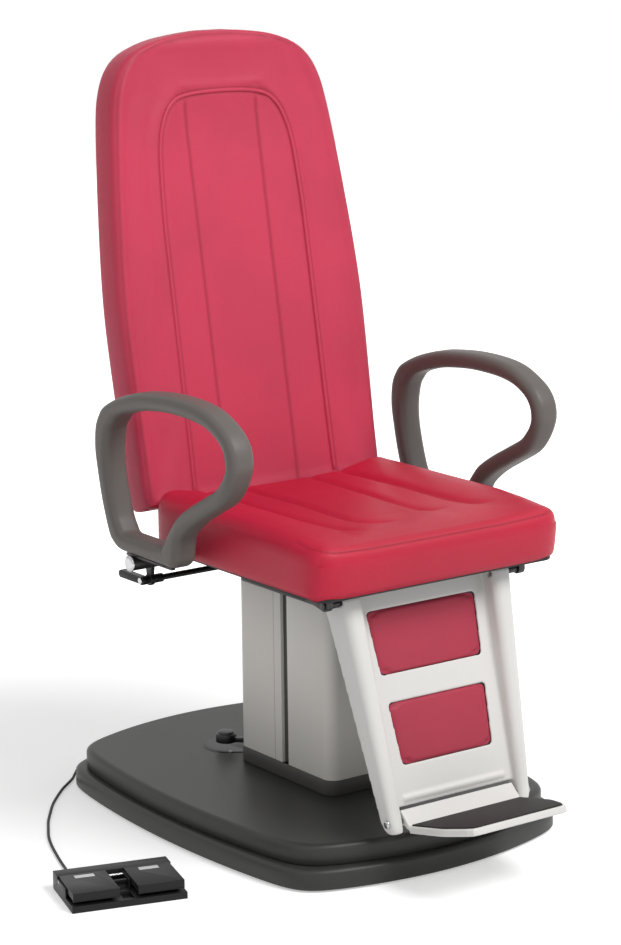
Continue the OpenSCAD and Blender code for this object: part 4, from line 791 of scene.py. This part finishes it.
def seat_plan(u, v):
    """Place on the rounded plan of the seat for shares across and along it."""
    return (u * SEAT_HALF * (1 - 0.05 * np.abs(v) ** 16),
            SEAT_MIDDLE + v * SEAT_LONG * (1 - 0.05 * np.abs(u) ** 16))


def seat_height(u, v):
    """Height of the seat's leather before it swells, with its edges rolled over."""
    x, y = u * SEAT_HALF, SEAT_MIDDLE + v * SEAT_LONG
    rise = table(np.abs(x), SEAT_RISE) * table(y, SEAT_FADE)
    roll = np.where(v < 0, 34, 22)
    a = np.clip(1 - (1 - np.abs(u)) * SEAT_HALF / 40, 0, 1)
    b = np.clip(1 - (1 - np.abs(v)) * SEAT_LONG / roll, 0, 1)
    m = np.minimum(1, (a ** 4 + b ** 4) ** 0.25)
    return SEAT_TOP + rise - 31 * (1 - np.sqrt(1 - m ** 2))


def seat_piece():
    s = sizes()
    cell = s.cell * 1000
    columns = np.linspace(-1, 1, int(2 * SEAT_HALF / cell))
    rows = np.linspace(-1, 1, int(2 * SEAT_LONG / cell))
    u, v = np.meshgrid(columns, rows)
    x, y = seat_plan(u, v)
    swell = s.seat_swell * 1000
    start = np.stack([x, y, seat_height(u, v) - 0.45 * swell], 2)
    held = (np.abs(u) > 0.9) | (np.abs(v) > 0.92)
    for groove in SEAT_GROOVES:
        far, along = from_line(x, y, groove)
        held |= (far < 0.55 * cell) & (along < 0.9)
    move = swelled(start, held, 3.2, swell, (0, 0, -1)) - start
    fine_u, fine_v = (spaced(-size, size, (-size, size), 1.3, 4.4, 8) / size
                      for size in (SEAT_HALF, SEAT_LONG))
    move = resampled(move, rows, columns, fine_v, fine_u)
    u, v = np.meshgrid(fine_u, fine_v)
    x, y = seat_plan(u, v)
    grid = np.stack([x, y, seat_height(u, v)], 2)
    inside = np.clip((1 - np.abs(u)) * 9, 0, 1) * np.clip((1 - np.abs(v)) * 9, 0, 1)
    grid[..., 2] += (move[..., 2] - 0.45 * swell) * inside
    # seam: painted shade, darkest in the grooves and along the front seam
    seam = np.zeros(u.shape)
    for groove in SEAT_GROOVES:
        far, along = from_line(grid[..., 0], grid[..., 1], spline(groove, 6))
        fade = np.clip((1 - along) * 7, 0, 1) * inside
        valley = 0.75 * np.exp(-(far / 9) ** 2) + 0.25 * np.exp(-(far / 3.5) ** 2)
        grid[..., 2] -= s.groove * 1000 * fade * valley
        seam = np.maximum(seam, 0.3 * fade * np.exp(-(far / 3.2) ** 2))
    line = SEAT_SEAM + mirrored(SEAT_SEAM[::-1])[1:]
    path = spline(line, 10)
    far, _ = from_line(grid[..., 0], grid[..., 1], path)
    grid[..., 2] -= 1.1 * np.exp(-(far / 1.8) ** 2)
    seam = np.maximum(seam, 0.7 * np.exp(-(far / 1.2) ** 2))
    edge = grid.reshape(-1, 3)[edge_walk(len(fine_u), len(fine_v))]
    loops = []
    middle = np.array([0, SEAT_MIDDLE])
    for share in np.linspace(0.08, 1, 14):
        ring = edge.copy()
        front = np.clip((-300 - edge[:, 1]) / 30, 0, 1)
        ring[:, 2] = edge[:, 2] + (SEAT_LOW - SEAT_TUCK * front - edge[:, 2]) * share
        out = 1 - 0.018 * max(0, (share - 0.8) / 0.2) ** 2
        ring[:, :2] = middle + (edge[:, :2] - middle) * out
        ring[:, 1] += front * 9.5 * share ** 1.6
        loops.append(ring)
    obj = upholstered("seat_upholstery", grid, loops, seam, "seat_leather", "seat", "seat_cushion")
    return grid, path


def read_off(x, y, values, line):
    """Value of a field of points at each point of a line, from the four nearest."""
    x, y, values = (f.reshape(-1) for f in (x, y, values))
    out = []
    for a, b in line:
        far = (x - a) ** 2 + (y - b) ** 2
        near = np.argpartition(far, 4)[:4]
        weight = 1 / (far[near] + 0.01)
        out.append((values[near] * weight).sum() / weight.sum())
    return np.array(out)


# Back: its own plane has x across and "up" along it; depth runs to the rear
BACK_TILT = math.radians(10)
BACK_LOW_Y, BACK_REF_Z = 150.0, 566.0
BACK_HALF, BACK_BOTTOM, BACK_LONG, BACK_THICK = 250.0, -33.0, 789.0, 66.0
BACK_HALVES = spline([
    (0, 0.945), (0.01, 0.97), (0.035, 0.982), (0.11, 0.984), (0.21, 0.992), (0.32, 1), (0.42, 1),
    (0.52, 0.984), (0.63, 0.955), (0.73, 0.924), (0.83, 0.886), (0.885, 0.847), (0.93, 0.778),
    (0.962, 0.664), (0.984, 0.48), (0.995, 0.27), (1, 0.1)], 12)
WELT = spline([
    (146, -33), (145, 0), (144, 60), (143.5, 170), (143, 265), (142.5, 350), (141.5, 446),
    (136.5, 538), (131.5, 575), (125, 598), (116, 618), (104, 633.5), (87, 644.5), (60, 650),
    (30, 652), (0, 652.5)], 8)
INNER_SEAM = 72.0  # distance of the two inner seams from the middle
BACK_DISH = [(0, 0.74), (60, 0.8), (INNER_SEAM, 0.82), (84, 0.8), (125, 0.46), (143, 0.33),
             (153, 0.26), (180, 0.03), (208, 0), (250, 0.1)]
BACK_FADE = [(-33, 1), (590, 1), (620, 0.92), (640, 0.75), (652, 0.5), (664, 0.22), (684, 0.02),
             (760, 0)]


def back_half(v):
    return BACK_HALF * np.interp(v, BACK_HALVES[:, 0], BACK_HALVES[:, 1])


def welt_half(up):
    """Half width of the panel at a height along the back."""
    keep = WELT[:, 1] <= 650.5
    return np.interp(up, WELT[keep, 1], WELT[keep, 0])


def back_across(u, v):
    """Sideways place: columns run down the inner seam, the welt and the edge."""
    up = BACK_BOTTOM + v * BACK_LONG
    side, half = np.maximum(welt_half(up), 100), back_half(v)
    inner = np.minimum(INNER_SEAM, side * 0.72)
    side = np.minimum(side, half * 0.75)
    inner = np.minimum(inner, side * 0.75)
    a, b = 0.29, 0.58
    t = np.abs(u)
    panel = inner + (side - inner) * (t - a) / (b - a)
    border = side + (half - side) * (t - b) / (1 - b)
    out = np.where(t <= a, t / a * inner, np.where(t <= b, panel, border))
    return np.sign(u) * out


def back_depth(x, up, v):
    """Depth of the front face: a dished panel, and edges rolled over to the sides."""
    side = np.maximum(welt_half(up), 100)
    stretch = (143 - 84) / np.maximum(side - 84, 12)
    place = np.where(np.abs(x) < 84, np.abs(x), 84 + (np.abs(x) - 84) * stretch)
    place = np.minimum(place, np.where(np.abs(x) > side, 143 + (np.abs(x) - side), 1e9))
    dish = 16 * table(place, BACK_DISH) * table(up, BACK_FADE)
    half = back_half(v)
    a = np.clip(1 - (half - np.abs(x)) / 22, 0, 1)
    b = np.clip(1 - (BACK_BOTTOM + BACK_LONG - up) / 26, 0, 1)
    c = np.clip(1 - (up - BACK_BOTTOM) / 12, 0, 1)
    m = np.minimum(1, (a ** 4 + b ** 4 + c ** 4) ** 0.25)
    return dish + 22 * (1 - np.sqrt(1 - m ** 2))


def back_place(x, up, depth):
    """From the back's own plane into the frame."""
    c, s = math.cos(BACK_TILT), math.sin(BACK_TILT)
    return np.stack([x, BACK_LOW_Y + depth * c + up * s, BACK_REF_Z - depth * s + up * c], -1)


def back_piece():
    s = sizes()
    cell = s.cell * 1000
    columns = np.linspace(-1, 1, int(2 * BACK_HALF / cell))
    rows = np.linspace(0, 1, int(BACK_LONG / cell))
    u, v = np.meshgrid(columns, rows)
    x, up = back_across(u, v), BACK_BOTTOM + v * BACK_LONG
    swell = s.back_swell * 1000
    depth = back_depth(x, up, v)
    start = np.stack([x, depth + 0.45 * swell, up], 2)
    held = (np.abs(u) > 0.93) | (v > 0.965) | (v < 0.02)
    inner = [[(x_at, -33), (x_at, 634)] for x_at in (-INNER_SEAM, INNER_SEAM)]
    welt = np.concatenate([WELT * (-1, 1), WELT[::-1][1:]])
    for line in (*inner, welt[::4]):
        far, _ = from_line(x, up, line)
        held |= far < 0.55 * cell
    move = swelled(start[:, ::-1], held[:, ::-1], 2.6, swell, (0, 1, 0))[:, ::-1] - start
    fine_u = spaced(-1, 1, (-1, -0.58, -0.29, 0.29, 0.58, 1), 0.006, 0.024, 0.03)
    fine_v = spaced(0, 1, (0, 0.868, 1), 0.0022, 0.0085, 0.012)
    move = resampled(move, rows, columns, fine_v, fine_u)
    u, v = np.meshgrid(fine_u, fine_v)
    x, up = back_across(u, v), BACK_BOTTOM + v * BACK_LONG
    depth = back_depth(x, up, v)
    inside = (np.clip((1 - np.abs(u)) * 10, 0, 1) * np.clip((1 - v) * 22, 0, 1)
              * np.clip(v * 30, 0, 1))
    depth = depth + (move[..., 1] + 0.45 * swell) * inside
    # seam: painted shade in the seams' grooves, outside the welt and along the boxing
    seam = np.zeros(u.shape)
    sink = s.seam * 1000
    for line in inner:
        far, _ = from_line(x, up, line)
        depth += sink * (0.6 * np.exp(-(far / 5.5) ** 2) + 0.6 * np.exp(-(far / 2.0) ** 2))
        seam = np.maximum(seam, 0.75 * np.exp(-(far / 1.8) ** 2))
    far, _ = from_line(x, up, welt)
    depth += sink * np.exp(-((far - 0.5) / 6.5) ** 2)
    seam = np.maximum(seam, 0.55 * np.exp(-(np.abs(far - 4.6) / 1.8) ** 2))
    share = BACK_HALVES[:, 0]
    outline = np.stack([back_half(share), BACK_BOTTOM + share * BACK_LONG], 1)
    rim = boxing_line(outline, 9.0)
    far, _ = from_line(x, up, rim)
    depth += 1.0 * np.exp(-(far / 2.8) ** 2)
    seam = np.maximum(seam, 0.6 * np.exp(-(far / 2.6) ** 2))
    grid = back_place(x, up, depth)
    edge_at = edge_walk(len(fine_u), len(fine_v))
    ex, eu, ed = (a.reshape(-1)[edge_at] for a in (x, up, depth))
    middle = BACK_BOTTOM + BACK_LONG / 2
    loops = []
    for share in np.linspace(0.08, 1, 12):
        out = 1 + 0.006 * math.sin(math.pi * share) - 0.014 * max(0, (share - 0.84) / 0.16) ** 2
        loops.append(back_place(ex * out, middle + (eu - middle) * out,
                                ed + (BACK_THICK - ed) * share))
    obj = upholstered("back_upholstery", grid, loops, seam, "back_leather", "back", "back_cushion")
    return (x, up, depth), welt, inner, rim


def boxing_line(outline, inset):
    """Line that keeps a distance inside the back's outline, from bottom left over the top."""
    right = outline.copy()
    way = np.gradient(right, axis=0)
    normal = np.stack([-way[:, 1], way[:, 0]], 1)
    normal /= np.linalg.norm(normal, axis=1)[:, None]
    right = right + normal * inset
    right = right[right[:, 1] > BACK_BOTTOM + inset + 4]
    return np.concatenate([right * (-1, 1), right[::-1][1:]])


# Arms, base, pads and cable

ARM_OUTER = [
    (0.471, 0), (0.617, 0), (0.763, 0), (0.837, 0.007), (0.88, 0.04), (0.905, 0.08),
    (0.93, 0.165), (0.96, 0.295), (0.985, 0.45), (1, 0.58), (0.993, 0.705), (0.968, 0.782),
    (0.93, 0.84), (0.837, 0.905), (0.73, 0.953), (0.634, 0.98), (0.471, 1), (0.315, 0.997),
    (0.207, 0.975), (0.13, 0.932), (0.054, 0.868), (0.012, 0.79), (0, 0.7), (0.017, 0.62),
    (0.05, 0.532), (0.1, 0.457), (0.195, 0.38), (0.29, 0.304), (0.36, 0.232), (0.4, 0.17),
    (0.41, 0.1), (0.417, 0.043), (0.44, 0.008)]
ARM_INNER = [
    (0.526, 0.114), (0.617, 0.107), (0.74, 0.107), (0.79, 0.108), (0.812, 0.118), (0.824, 0.14),
    (0.849, 0.196), (0.876, 0.31), (0.9, 0.454), (0.905, 0.58), (0.89, 0.696), (0.868, 0.746),
    (0.837, 0.79), (0.785, 0.821), (0.71, 0.85), (0.622, 0.875), (0.471, 0.896), (0.33, 0.893),
    (0.237, 0.879), (0.168, 0.854), (0.11, 0.807), (0.078, 0.75), (0.07, 0.682), (0.078, 0.636),
    (0.1, 0.596), (0.137, 0.543), (0.227, 0.471), (0.324, 0.396), (0.407, 0.318), (0.456, 0.239),
    (0.49, 0.175), (0.503, 0.147), (0.514, 0.127)]
CABLE_ROUTE = [
    (-213, 412, 12), (-215, 418, 12), (-217, 424, 12), (-221, 431, 10), (-229, 431, 7),
    (-238, 423, 5), (-247, 413, 4), (-256, 403, 4), (-267, 393, 4), (-281, 381, 4),
    (-298, 366, 4), (-326, 338, 3), (-354, 306, 3), (-379, 272, 3), (-403, 238, 3),
    (-424, 203, 3), (-444, 168, 3), (-461, 131, 3), (-476, 92, 3), (-490, 53, 3), (-503, 15, 4),
    (-515, -12, 9), (-526, -29, 13), (-529, -38, 14), (-532, -47, 14)]


ARM_X, ARM_HALF, ARM_ROUND = 306, 23, 13.5
ARM_SIZE, ARM_PLACE = (410, 280), (-227, 485)


def arm_piece(side, name, node, body):
    """One looped arm: a rounded section carried round between the inner and outer outlines."""
    outer, inner = (spline(np.array(outline) * ARM_SIZE + ARM_PLACE, 6, True)
                    for outline in (ARM_OUTER, ARM_INNER))
    rings = []
    for a, b in zip(inner, outer):
        across = b - a
        wide = np.hypot(*across)
        across = across / wide
        r = min(ARM_ROUND, wide * 0.46)
        ring = []
        for out, top, start in ((1, 1, 0), (1, -1, 90), (-1, -1, 180), (-1, 1, 270)):
            for k in range(7):
                turn = math.radians(start + 90 * k / 6)
                x = out * (ARM_HALF - r) + r * math.sin(turn)
                t = (wide - r if top > 0 else r) + r * math.cos(turn)
                ring.append((side * ARM_X + x, *(a + across * t)))
        rings.append(np.array(ring))
    points, faces = loft(rings, closed=True)
    obj = piece(name, points, faces, "arm_foam", body, (node,), 50)
    outward(obj)


# Base outline: middle along the chair, half sizes, how far the sides bow, and the corner's power
BASE_MIDDLE, BASE_HALF, BASE_BOW, BASE_POWER = 44, (300.5, 405.5), (32, 56), 16


def base_ring(inset, z, count=28):
    """The base's outline at a height, drawn in by an inset."""
    low = (1 - (1 - np.linspace(0, 1, count)) ** 1.8) * 0.5 ** (1 / BASE_POWER)
    high = (1 - low ** BASE_POWER) ** (1 / BASE_POWER)
    q = np.stack([np.append(high, low[::-1][1:]), np.append(low, high[::-1][1:])], 1)[:-1]
    ring = []
    for _ in range(4):
        ring.append(q)
        q = np.stack([-q[:, 1], q[:, 0]], 1)
    a, b = np.concatenate(ring).T
    x = a * (BASE_HALF[0] - inset - BASE_BOW[0] * b ** 2)
    y = BASE_MIDDLE + b * (BASE_HALF[1] - inset - BASE_BOW[1] * a ** 2)
    return np.stack([x, y, np.full(len(x), float(z))], 1)


# Base covers: underside, the step between the two, and the top of the upper one. Then how far the
# upper one is set in, and how far in from its outline the top of each one runs.
COVER_LOW, COVER_STEP, COVER_TOP = 3, 37, 71.6
UPPER_INSET, LOWER_FLANGE, UPPER_FLANGE = 15, 60, 120


def cover_piece(name, node, inset, low, top, flange):
    """One moulded cover of the base, its top edge rounded over."""
    r = 9
    steps = [(4, low), (1.2, low + 0.3), (0, low + 2)]
    steps += [(r * (1 - math.cos(t)), top - r + r * math.sin(t))
              for t in np.radians(np.linspace(0, 90, 8))]
    steps += [(11, top), (flange, top)]
    points, faces = loft([base_ring(inset + more, z) for more, z in steps])
    piece(name, points, faces, "base_paint", "base", (node,), 45)


PANEL_TILT, HINGE_Y, HINGE_Z = math.radians(16.3), -282, 453
# Leg panel's half width at its top and its foot, its length, and how far down it the footplate's
# screws are, and how far behind its face line
PANEL_TOP_HALF, PANEL_FOOT_HALF, PANEL_LENGTH = 171, 141, 374
FOOT_SCREW_DOWN, FOOT_SCREW_DEPTH = 355.7, -16.5


def panel_place(x, s, f):
    """From the leg panel's own frame: across, down the panel, and forward of it."""
    x, s, f = np.broadcast_arrays(x, s, f)
    c, d = math.cos(PANEL_TILT), math.sin(PANEL_TILT)
    return np.stack([x, HINGE_Y - s * d - f * c, HINGE_Z - s * c + f * d], -1)


# Points along each side of a pad's grid, and each window's top and bottom with its half widths
PAD_POINTS = 44
WINDOWS = (23.5, 108.6, 125.5, 101.5), (171.5, 97, 270.5, 90.5)


def leg_pad(top_s, top_half, low_s, low_half):
    """Grid of an upholstered pad in a window: crowned, with a tight rolled edge."""
    t = np.linspace(-1, 1, PAD_POINTS)
    t = np.sign(t) * (1 - (1 - np.abs(t)) ** 1.4)
    u, v = np.meshgrid(t, t)
    power = 14.0
    round_off = (np.abs(u) ** power + np.abs(v) ** power) ** (1 / power)
    scale = np.maximum(np.abs(u), np.abs(v)) / np.maximum(1e-9, round_off)
    s = (top_s + low_s) / 2 + v * scale * (low_s - top_s) / 2
    half = top_half + (low_half - top_half) * (s - top_s) / (low_s - top_s)
    m = np.clip((np.abs(u) ** 8 + np.abs(v) ** 8) ** 0.125, 0, 1)
    edge = np.clip((m - 0.9) / 0.1, 0, 1)
    f = -17.5 + 1.6 * (1 - m ** 3) - 3.2 * edge ** 2
    return panel_place(u * scale * half, s, f)[:, ::-1]


def pads_piece():
    """Both pads of the leg panel, each closed behind."""
    n = PAD_POINTS
    walk = edge_walk(n, n)
    m = len(walk)
    quads = grid_quads(n, n)
    quads += [(walk[k], n * n + k, n * n + (k + 1) % m, walk[(k + 1) % m]) for k in range(m)]
    quads.append(tuple(n * n + k for k in reversed(range(m))))
    back = panel_place(0, 0, -3.0) - panel_place(0, 0, 0)
    points, faces = [], []
    for number, window in enumerate(WINDOWS):
        flat = leg_pad(*window).reshape(-1, 3)
        points += [flat, flat[walk] + back]
        faces += [tuple(number * (n * n + m) + i for i in quad) for quad in quads]
    obj = piece("leg_pad_upholstery", np.concatenate(points), faces, "pad_leather", "leg_panel",
                ("leg_pads",), 60)
    outward(obj)


# Foot of the bright screw on the brake's plate, and the outer end of the left arm's shaft
BRAKE_SCREW, ARM_SHAFT_END = (-65, 184.4, 72), (325, 81, 470)


def capped_screws(name, node, body, x, y, z, profile):
    """A pair of chromed screws turned on the lathe, one on each side of the chair."""
    points, faces = [], []
    for way in (-1, 1):
        p, f = lathe(profile, (way * x, y, z), "X", 28, way)
        faces += [tuple(len(p) * len(points) + i for i in q) for q in f]
        points.append(p)
    outward(piece(name, np.concatenate(points), faces, "chrome", body, (node,), 40))


WELT_RISE = 2.3  # height of the strip over the leather


def welt_piece(line, way, depth, wide):
    """Raised strip of leather along the panel's edge."""
    turn = np.linspace(0, 2 * math.pi, 16, endpoint=False)
    out = np.sign(np.sin(turn)) * np.abs(np.sin(turn)) ** 0.8 * WELT_RISE
    rings = []
    for (a, b), d, w in zip(line, depth, way):
        x, up = a - w[1] * wide * np.cos(turn), b + w[0] * wide * np.cos(turn)
        rings.append(back_place(x, up, d + 0.1 - out))
    points, faces = loft(rings)
    outward(piece("back_welt", points, faces, "back_leather", "back"))


# Operators


class Makes(bpy.types.Operator):
    """Base of the chair's operators: each one's make() adds its pieces."""
    bl_options = {"REGISTER", "UNDO"}

    def execute(self, context):
        self.make(context)
        return {"FINISHED"}


# The view: turn, height and roll in degrees, place in metres, and a lens for a 36 mm sensor
VIEW_ANGLES, VIEW_PLACE = (-35.69, 12.28, -0.72), (-2.730, -3.774, 1.605)
VIEW_LENS = 2868 / 945 * 36


class CHAIR_OT_camera(Makes):
    """Set the camera at the angle the chair is seen from"""
    bl_idname = "chair.camera"
    bl_label = "Camera"

    def make(self, context):
        data = bpy.data.cameras.new("view")
        data.lens, data.sensor_width, data.clip_end = VIEW_LENS, 36, 100
        camera = bpy.data.objects.new("view", data)
        a, e, r = (math.radians(v) for v in VIEW_ANGLES)
        back = Vector((math.sin(a) * math.cos(e), -math.cos(a) * math.cos(e), math.sin(e)))
        right = Vector((math.cos(a), math.sin(a), 0))
        up = back.cross(right)
        x, y = math.cos(r) * right + math.sin(r) * up, -math.sin(r) * right + math.cos(r) * up
        turned = Matrix((x, y, back)).transposed().to_4x4()
        camera.matrix_world = Matrix.Translation(VIEW_PLACE) @ turned
        context.scene.collection.objects.link(camera)
        context.scene.camera = camera


class CHAIR_OT_cable(Makes):
    """Lay the foot switch's cable and its sleeves"""
    bl_idname = "chair.cable"
    bl_label = "Cable"

    def make(self, context):
        path = spline(CABLE_ROUTE, 4)
        points, faces = tube(path, 2.5, 14)
        obj = piece("foot_switch_lead", points, faces, "cable_rubber", "base",
                    ("foot_switch_cable",), 50)
        ends = even(path, 1.0)
        for name, line in (("base_sleeve", ends[10:34]), ("switch_sleeve", ends[::-1][2:22])):
            taper = np.linspace(4.6, 2.9, len(line)) + 0.3 * np.cos(np.arange(len(line)) * 2.1)
            points, faces = tube(line, taper, 14)
            piece(name, points, faces, "cable_rubber", "base")


class CHAIR_OT_seat(Makes):
    """Upholster the seat"""
    bl_idname = "chair.seat"
    bl_label = "Seat"

    def make(self, context):
        s = sizes()
        grid, path = seat_piece()
        x, y = even(path, 3.0).T
        height = read_off(grid[..., 0], grid[..., 1], grid[..., 2], zip(x, y))
        line = np.stack([x, y, height + 0.15], 1)
        beads([line], "seat_stitches", "seat_thread", "seat", s.stitch, s.stitch * 0.72, s.thread)


class CHAIR_OT_back(Makes):
    """Upholster the back, with its welt and seams"""
    bl_idname = "chair.back"
    bl_label = "Back"

    def make(self, context):
        s = sizes()
        fields, welt, inner, rim = back_piece()
        wide = s.welt * 500
        line = even(welt, 4.0)
        depth = read_off(*fields, line)
        depth = np.convolve(np.pad(depth, 4, "edge"), np.ones(9) / 9, "valid")
        way = np.gradient(line, axis=0)
        way /= np.linalg.norm(way, axis=1)[:, None]
        welt_piece(line, way, depth, wide)
        aside = np.stack([-way[:, 1], way[:, 0]], 1)
        on_strip, beyond = line - aside * (wide - 1.4), line + aside * (wide + 1.8)
        rows = [(on_strip, depth - 2.1), (beyond, read_off(*fields, beyond) - 0.1)]
        for seam in inner:
            for shift in (-2.6, 2.6):
                row = even(np.array(seam, float), 4.0) + (shift, 0)
                rows.append((row, read_off(*fields, row) - 0.15))
        edge = even(rim, 3.0)
        rows.append((edge, read_off(*fields, edge) - 0.1))
        beads([back_place(row[:, 0], row[:, 1], at) for row, at in rows], "back_stitches",
              "back_thread", "back", s.stitch, s.stitch * 0.7, s.thread)


class CHAIR_OT_arms(Makes):
    """Make the two looped arms and what carries them"""
    bl_idname = "chair.arms"
    bl_label = "Arms"

    def make(self, context):
        arm_piece(-1, "right_arm_foam", "right_arm", "arm_right")
        arm_piece(1, "left_arm_foam", "left_arm", "arm_left")
        cap = [(0, 14), (1.2, 14), (2.4, 13.2), (3.3, 11.4), (3.8, 9), (4, 6), (4, 0.5)]
        capped_screws("arm_caps", "arm_shaft_caps", "seat", *ARM_SHAFT_END, cap)
        for node in ("right_arm_bracket", "left_arm_bracket", "arm_carriers"):
            dressed(node, 0.8)


class CHAIR_OT_base(Makes):
    """Mould the base covers and dress the brake pedal"""
    bl_idname = "chair.base"
    bl_label = "Base"

    def make(self, context):
        cover_piece("lower_cover", "lower_base_cover", 0, COVER_LOW, COVER_STEP, LOWER_FLANGE)
        cover_piece("upper_cover", "upper_base_cover", UPPER_INSET, COVER_STEP, COVER_TOP,
                    UPPER_FLANGE)
        for node, edge in (("brake_pedal", 1.2), ("brake_recess_plate", 0.4),
                           ("column_skirt", 1.0), ("column_channels", 0.3),
                           ("front_column_cover", 0.7), ("rear_column_cover", 0.7),
                           ("column_top_cap", 0.8)):
            dressed(node, edge)
        head = [(0, 3.4), (0.8, 3.3), (1.4, 2.5), (1.6, 1.2), (1.1, 1.0), (1.1, 0.2)]
        points, faces = lathe(head, BRAKE_SCREW, "Z", 24)
        outward(piece("recess_screw", points, faces, "zinc_screw", "base"))


class CHAIR_OT_leg_panel(Makes):
    """Mould the leg panel, its pads, the footplate and the mat"""
    bl_idname = "chair.leg_panel"
    bl_label = "Leg panel"

    def make(self, context):
        moulded("leg_frame", 1.9, 5)
        moulded("footplate", 1.3, 3)
        pads_piece()
        dressed("footplate_mat", 0.9, 3)
        narrowing = (PANEL_FOOT_HALF - PANEL_TOP_HALF) * FOOT_SCREW_DOWN / PANEL_LENGTH
        x, y, z = panel_place(PANEL_TOP_HALF + narrowing, FOOT_SCREW_DOWN, FOOT_SCREW_DEPTH)
        cap = [(-30, 3.9), (0, 3.9), (0.1, 6.5), (1.4, 6.5), (2.4, 5.8), (3, 4.4), (3, 2.3),
               (1.2, 2.1), (1.2, 0.2)]
        capped_screws("pivot_screws", "footplate_screws", "leg_panel", x, y, z, cap)


class CHAIR_OT_foot_switch(Makes):
    """Dress the foot switch"""
    bl_idname = "chair.foot_switch"
    bl_label = "Foot switch"

    def make(self, context):
        for node, edge in (("switch_housing", 0.9), ("up_pedal", 1.1), ("down_pedal", 1.1),
                           ("up_pedal_strip", 0.12), ("down_pedal_strip", 0.12)):
            dressed(node, edge)


class CHAIR_OT_steelwork(Makes):
    """Dress the seat's pan, frame, lever and rear shell"""
    bl_idname = "chair.steelwork"
    bl_label = "Steelwork"

    def make(self, context):
        for node, edge in (("seat_pan", 1.2), ("seat_frame", 1.0), ("lever_rod", 0.6),
                           ("lever_handle", 1.6), ("lever_screw", 0.5), ("leg_hinge_pins", 0.6),
                           ("back_shell", 0.8), ("leg_back_plate", 0.4)):
            dressed(node, edge)
        for node, obj in frame["nodes"].items():
            for slot in obj.material_slots:
                slot.link = "OBJECT"
                slot.material = FINISH[SLOT_OF[node]]


FLOOR_REACH = 9000  # from the middle to each side of the floor


class CHAIR_OT_stage(Makes):
    """Lay the pale floor and set the lamps"""
    bl_idname = "chair.stage"
    bl_label = "Stage"

    def make(self, context):
        s = context.scene.chair_stage
        f = Finish("pale_floor")
        seen, glossy = (f.node("ShaderNodeLightPath", {}, {}, kind)
                        for kind in ("Is Camera Ray", "Is Glossy Ray"))
        plain = f.node("ShaderNodeBsdfDiffuse", {}, {"Color": (0.86, 0.86, 0.86)}, "BSDF")
        away = f.node("ShaderNodeVectorMath", {"operation": "LENGTH"}, {0: f.place}, "Value")
        white = f.blend(f.band(away, 0.7, 1.9), (0.42, 0.42, 0.42), (1, 1, 1))
        glow = f.node("ShaderNodeEmission", {}, {
            "Color": f.blend(seen.most(glossy), (0, 0, 0), white), "Strength": 1.0}, "Emission")
        f.node_out(f.node("ShaderNodeAddShader", {}, {0: plain, 1: glow}, "Shader"))
        corners = [(a * FLOOR_REACH, b * FLOOR_REACH, 0)
                   for a, b in ((-1, -1), (1, -1), (1, 1), (-1, 1))]
        floor = scratch("floor", corners, [(0, 1, 2, 3)])
        floor.data.materials.append(f.material)
        world = bpy.data.worlds.new("room")
        context.scene.world = world
        world.use_nodes = True
        tree = world.node_tree
        tree.nodes.clear()
        rays = tree.nodes.new("ShaderNodeLightPath")
        seen, glossy = (Wire(tree, rays.outputs[kind])
                        for kind in ("Is Camera Ray", "Is Glossy Ray"))
        sky = tree.nodes.new("ShaderNodeBackground")
        plug(tree, sky.inputs["Color"], (1, 1, 1))
        plug(tree, sky.inputs["Strength"], seen.most(glossy * 0.9) * (1 - s.sky) + s.sky)
        out = tree.nodes.new("ShaderNodeOutputWorld")
        tree.links.new(sky.outputs[0], out.inputs["Surface"])
        for name, place, aim, power, size in (
                ("key", (0.9, -2.75, 3.9), (0, 0, 0.7), s.key, 1.9),
                ("fill", (-3.4, -1.6, 2.4), (0, 0, 0.6), s.fill, 1.6)):
            data = bpy.data.lights.new(name, "AREA")
            data.energy, data.size = power, size
            lamp = bpy.data.objects.new(name, data)
            lamp.location = place
            lamp.rotation_euler = (Vector(aim) - Vector(place)).to_track_quat("-Z", "Y").to_euler()
            context.scene.collection.objects.link(lamp)
        context.scene.view_settings.view_transform = "Standard"


class CHAIR_PT_pieces(bpy.types.Panel):
    """The chair's pieces, each with the button that makes it"""
    bl_label = "Examination chair"
    bl_space_type = "VIEW_3D"
    bl_region_type = "UI"
    bl_category = "Chair"

    def draw(self, context):
        for name, kind in GROUPS.items():
            for key in kind.__annotations__:
                self.layout.prop(getattr(context.scene, name), key)
        for operator in OPERATORS:
            self.layout.operator(operator.bl_idname)


OPERATORS = (CHAIR_OT_camera, CHAIR_OT_cable, CHAIR_OT_seat, CHAIR_OT_back, CHAIR_OT_arms,
             CHAIR_OT_base, CHAIR_OT_leg_panel, CHAIR_OT_foot_switch, CHAIR_OT_steelwork,
             CHAIR_OT_stage)
GROUPS = {"chair_cushions": CushionSizes, "chair_colours": ChairColours, "chair_stage": StageSizes}
CLASSES = (*GROUPS.values(), *OPERATORS, CHAIR_PT_pieces)


def register():
    for each in CLASSES:
        bpy.utils.register_class(each)
    for name, kind in GROUPS.items():
        setattr(bpy.types.Scene, name, PointerProperty(type=kind))


def unregister():
    for name in GROUPS:
        delattr(bpy.types.Scene, name)
    for each in reversed(CLASSES):
        bpy.utils.unregister_class(each)


def main():
    register()
    FINISH.update(finishes())
    for operator in OPERATORS:
        group, name = operator.bl_idname.split(".")
        getattr(getattr(bpy.ops, group), name)()


if __name__ == "__main__":
    main()
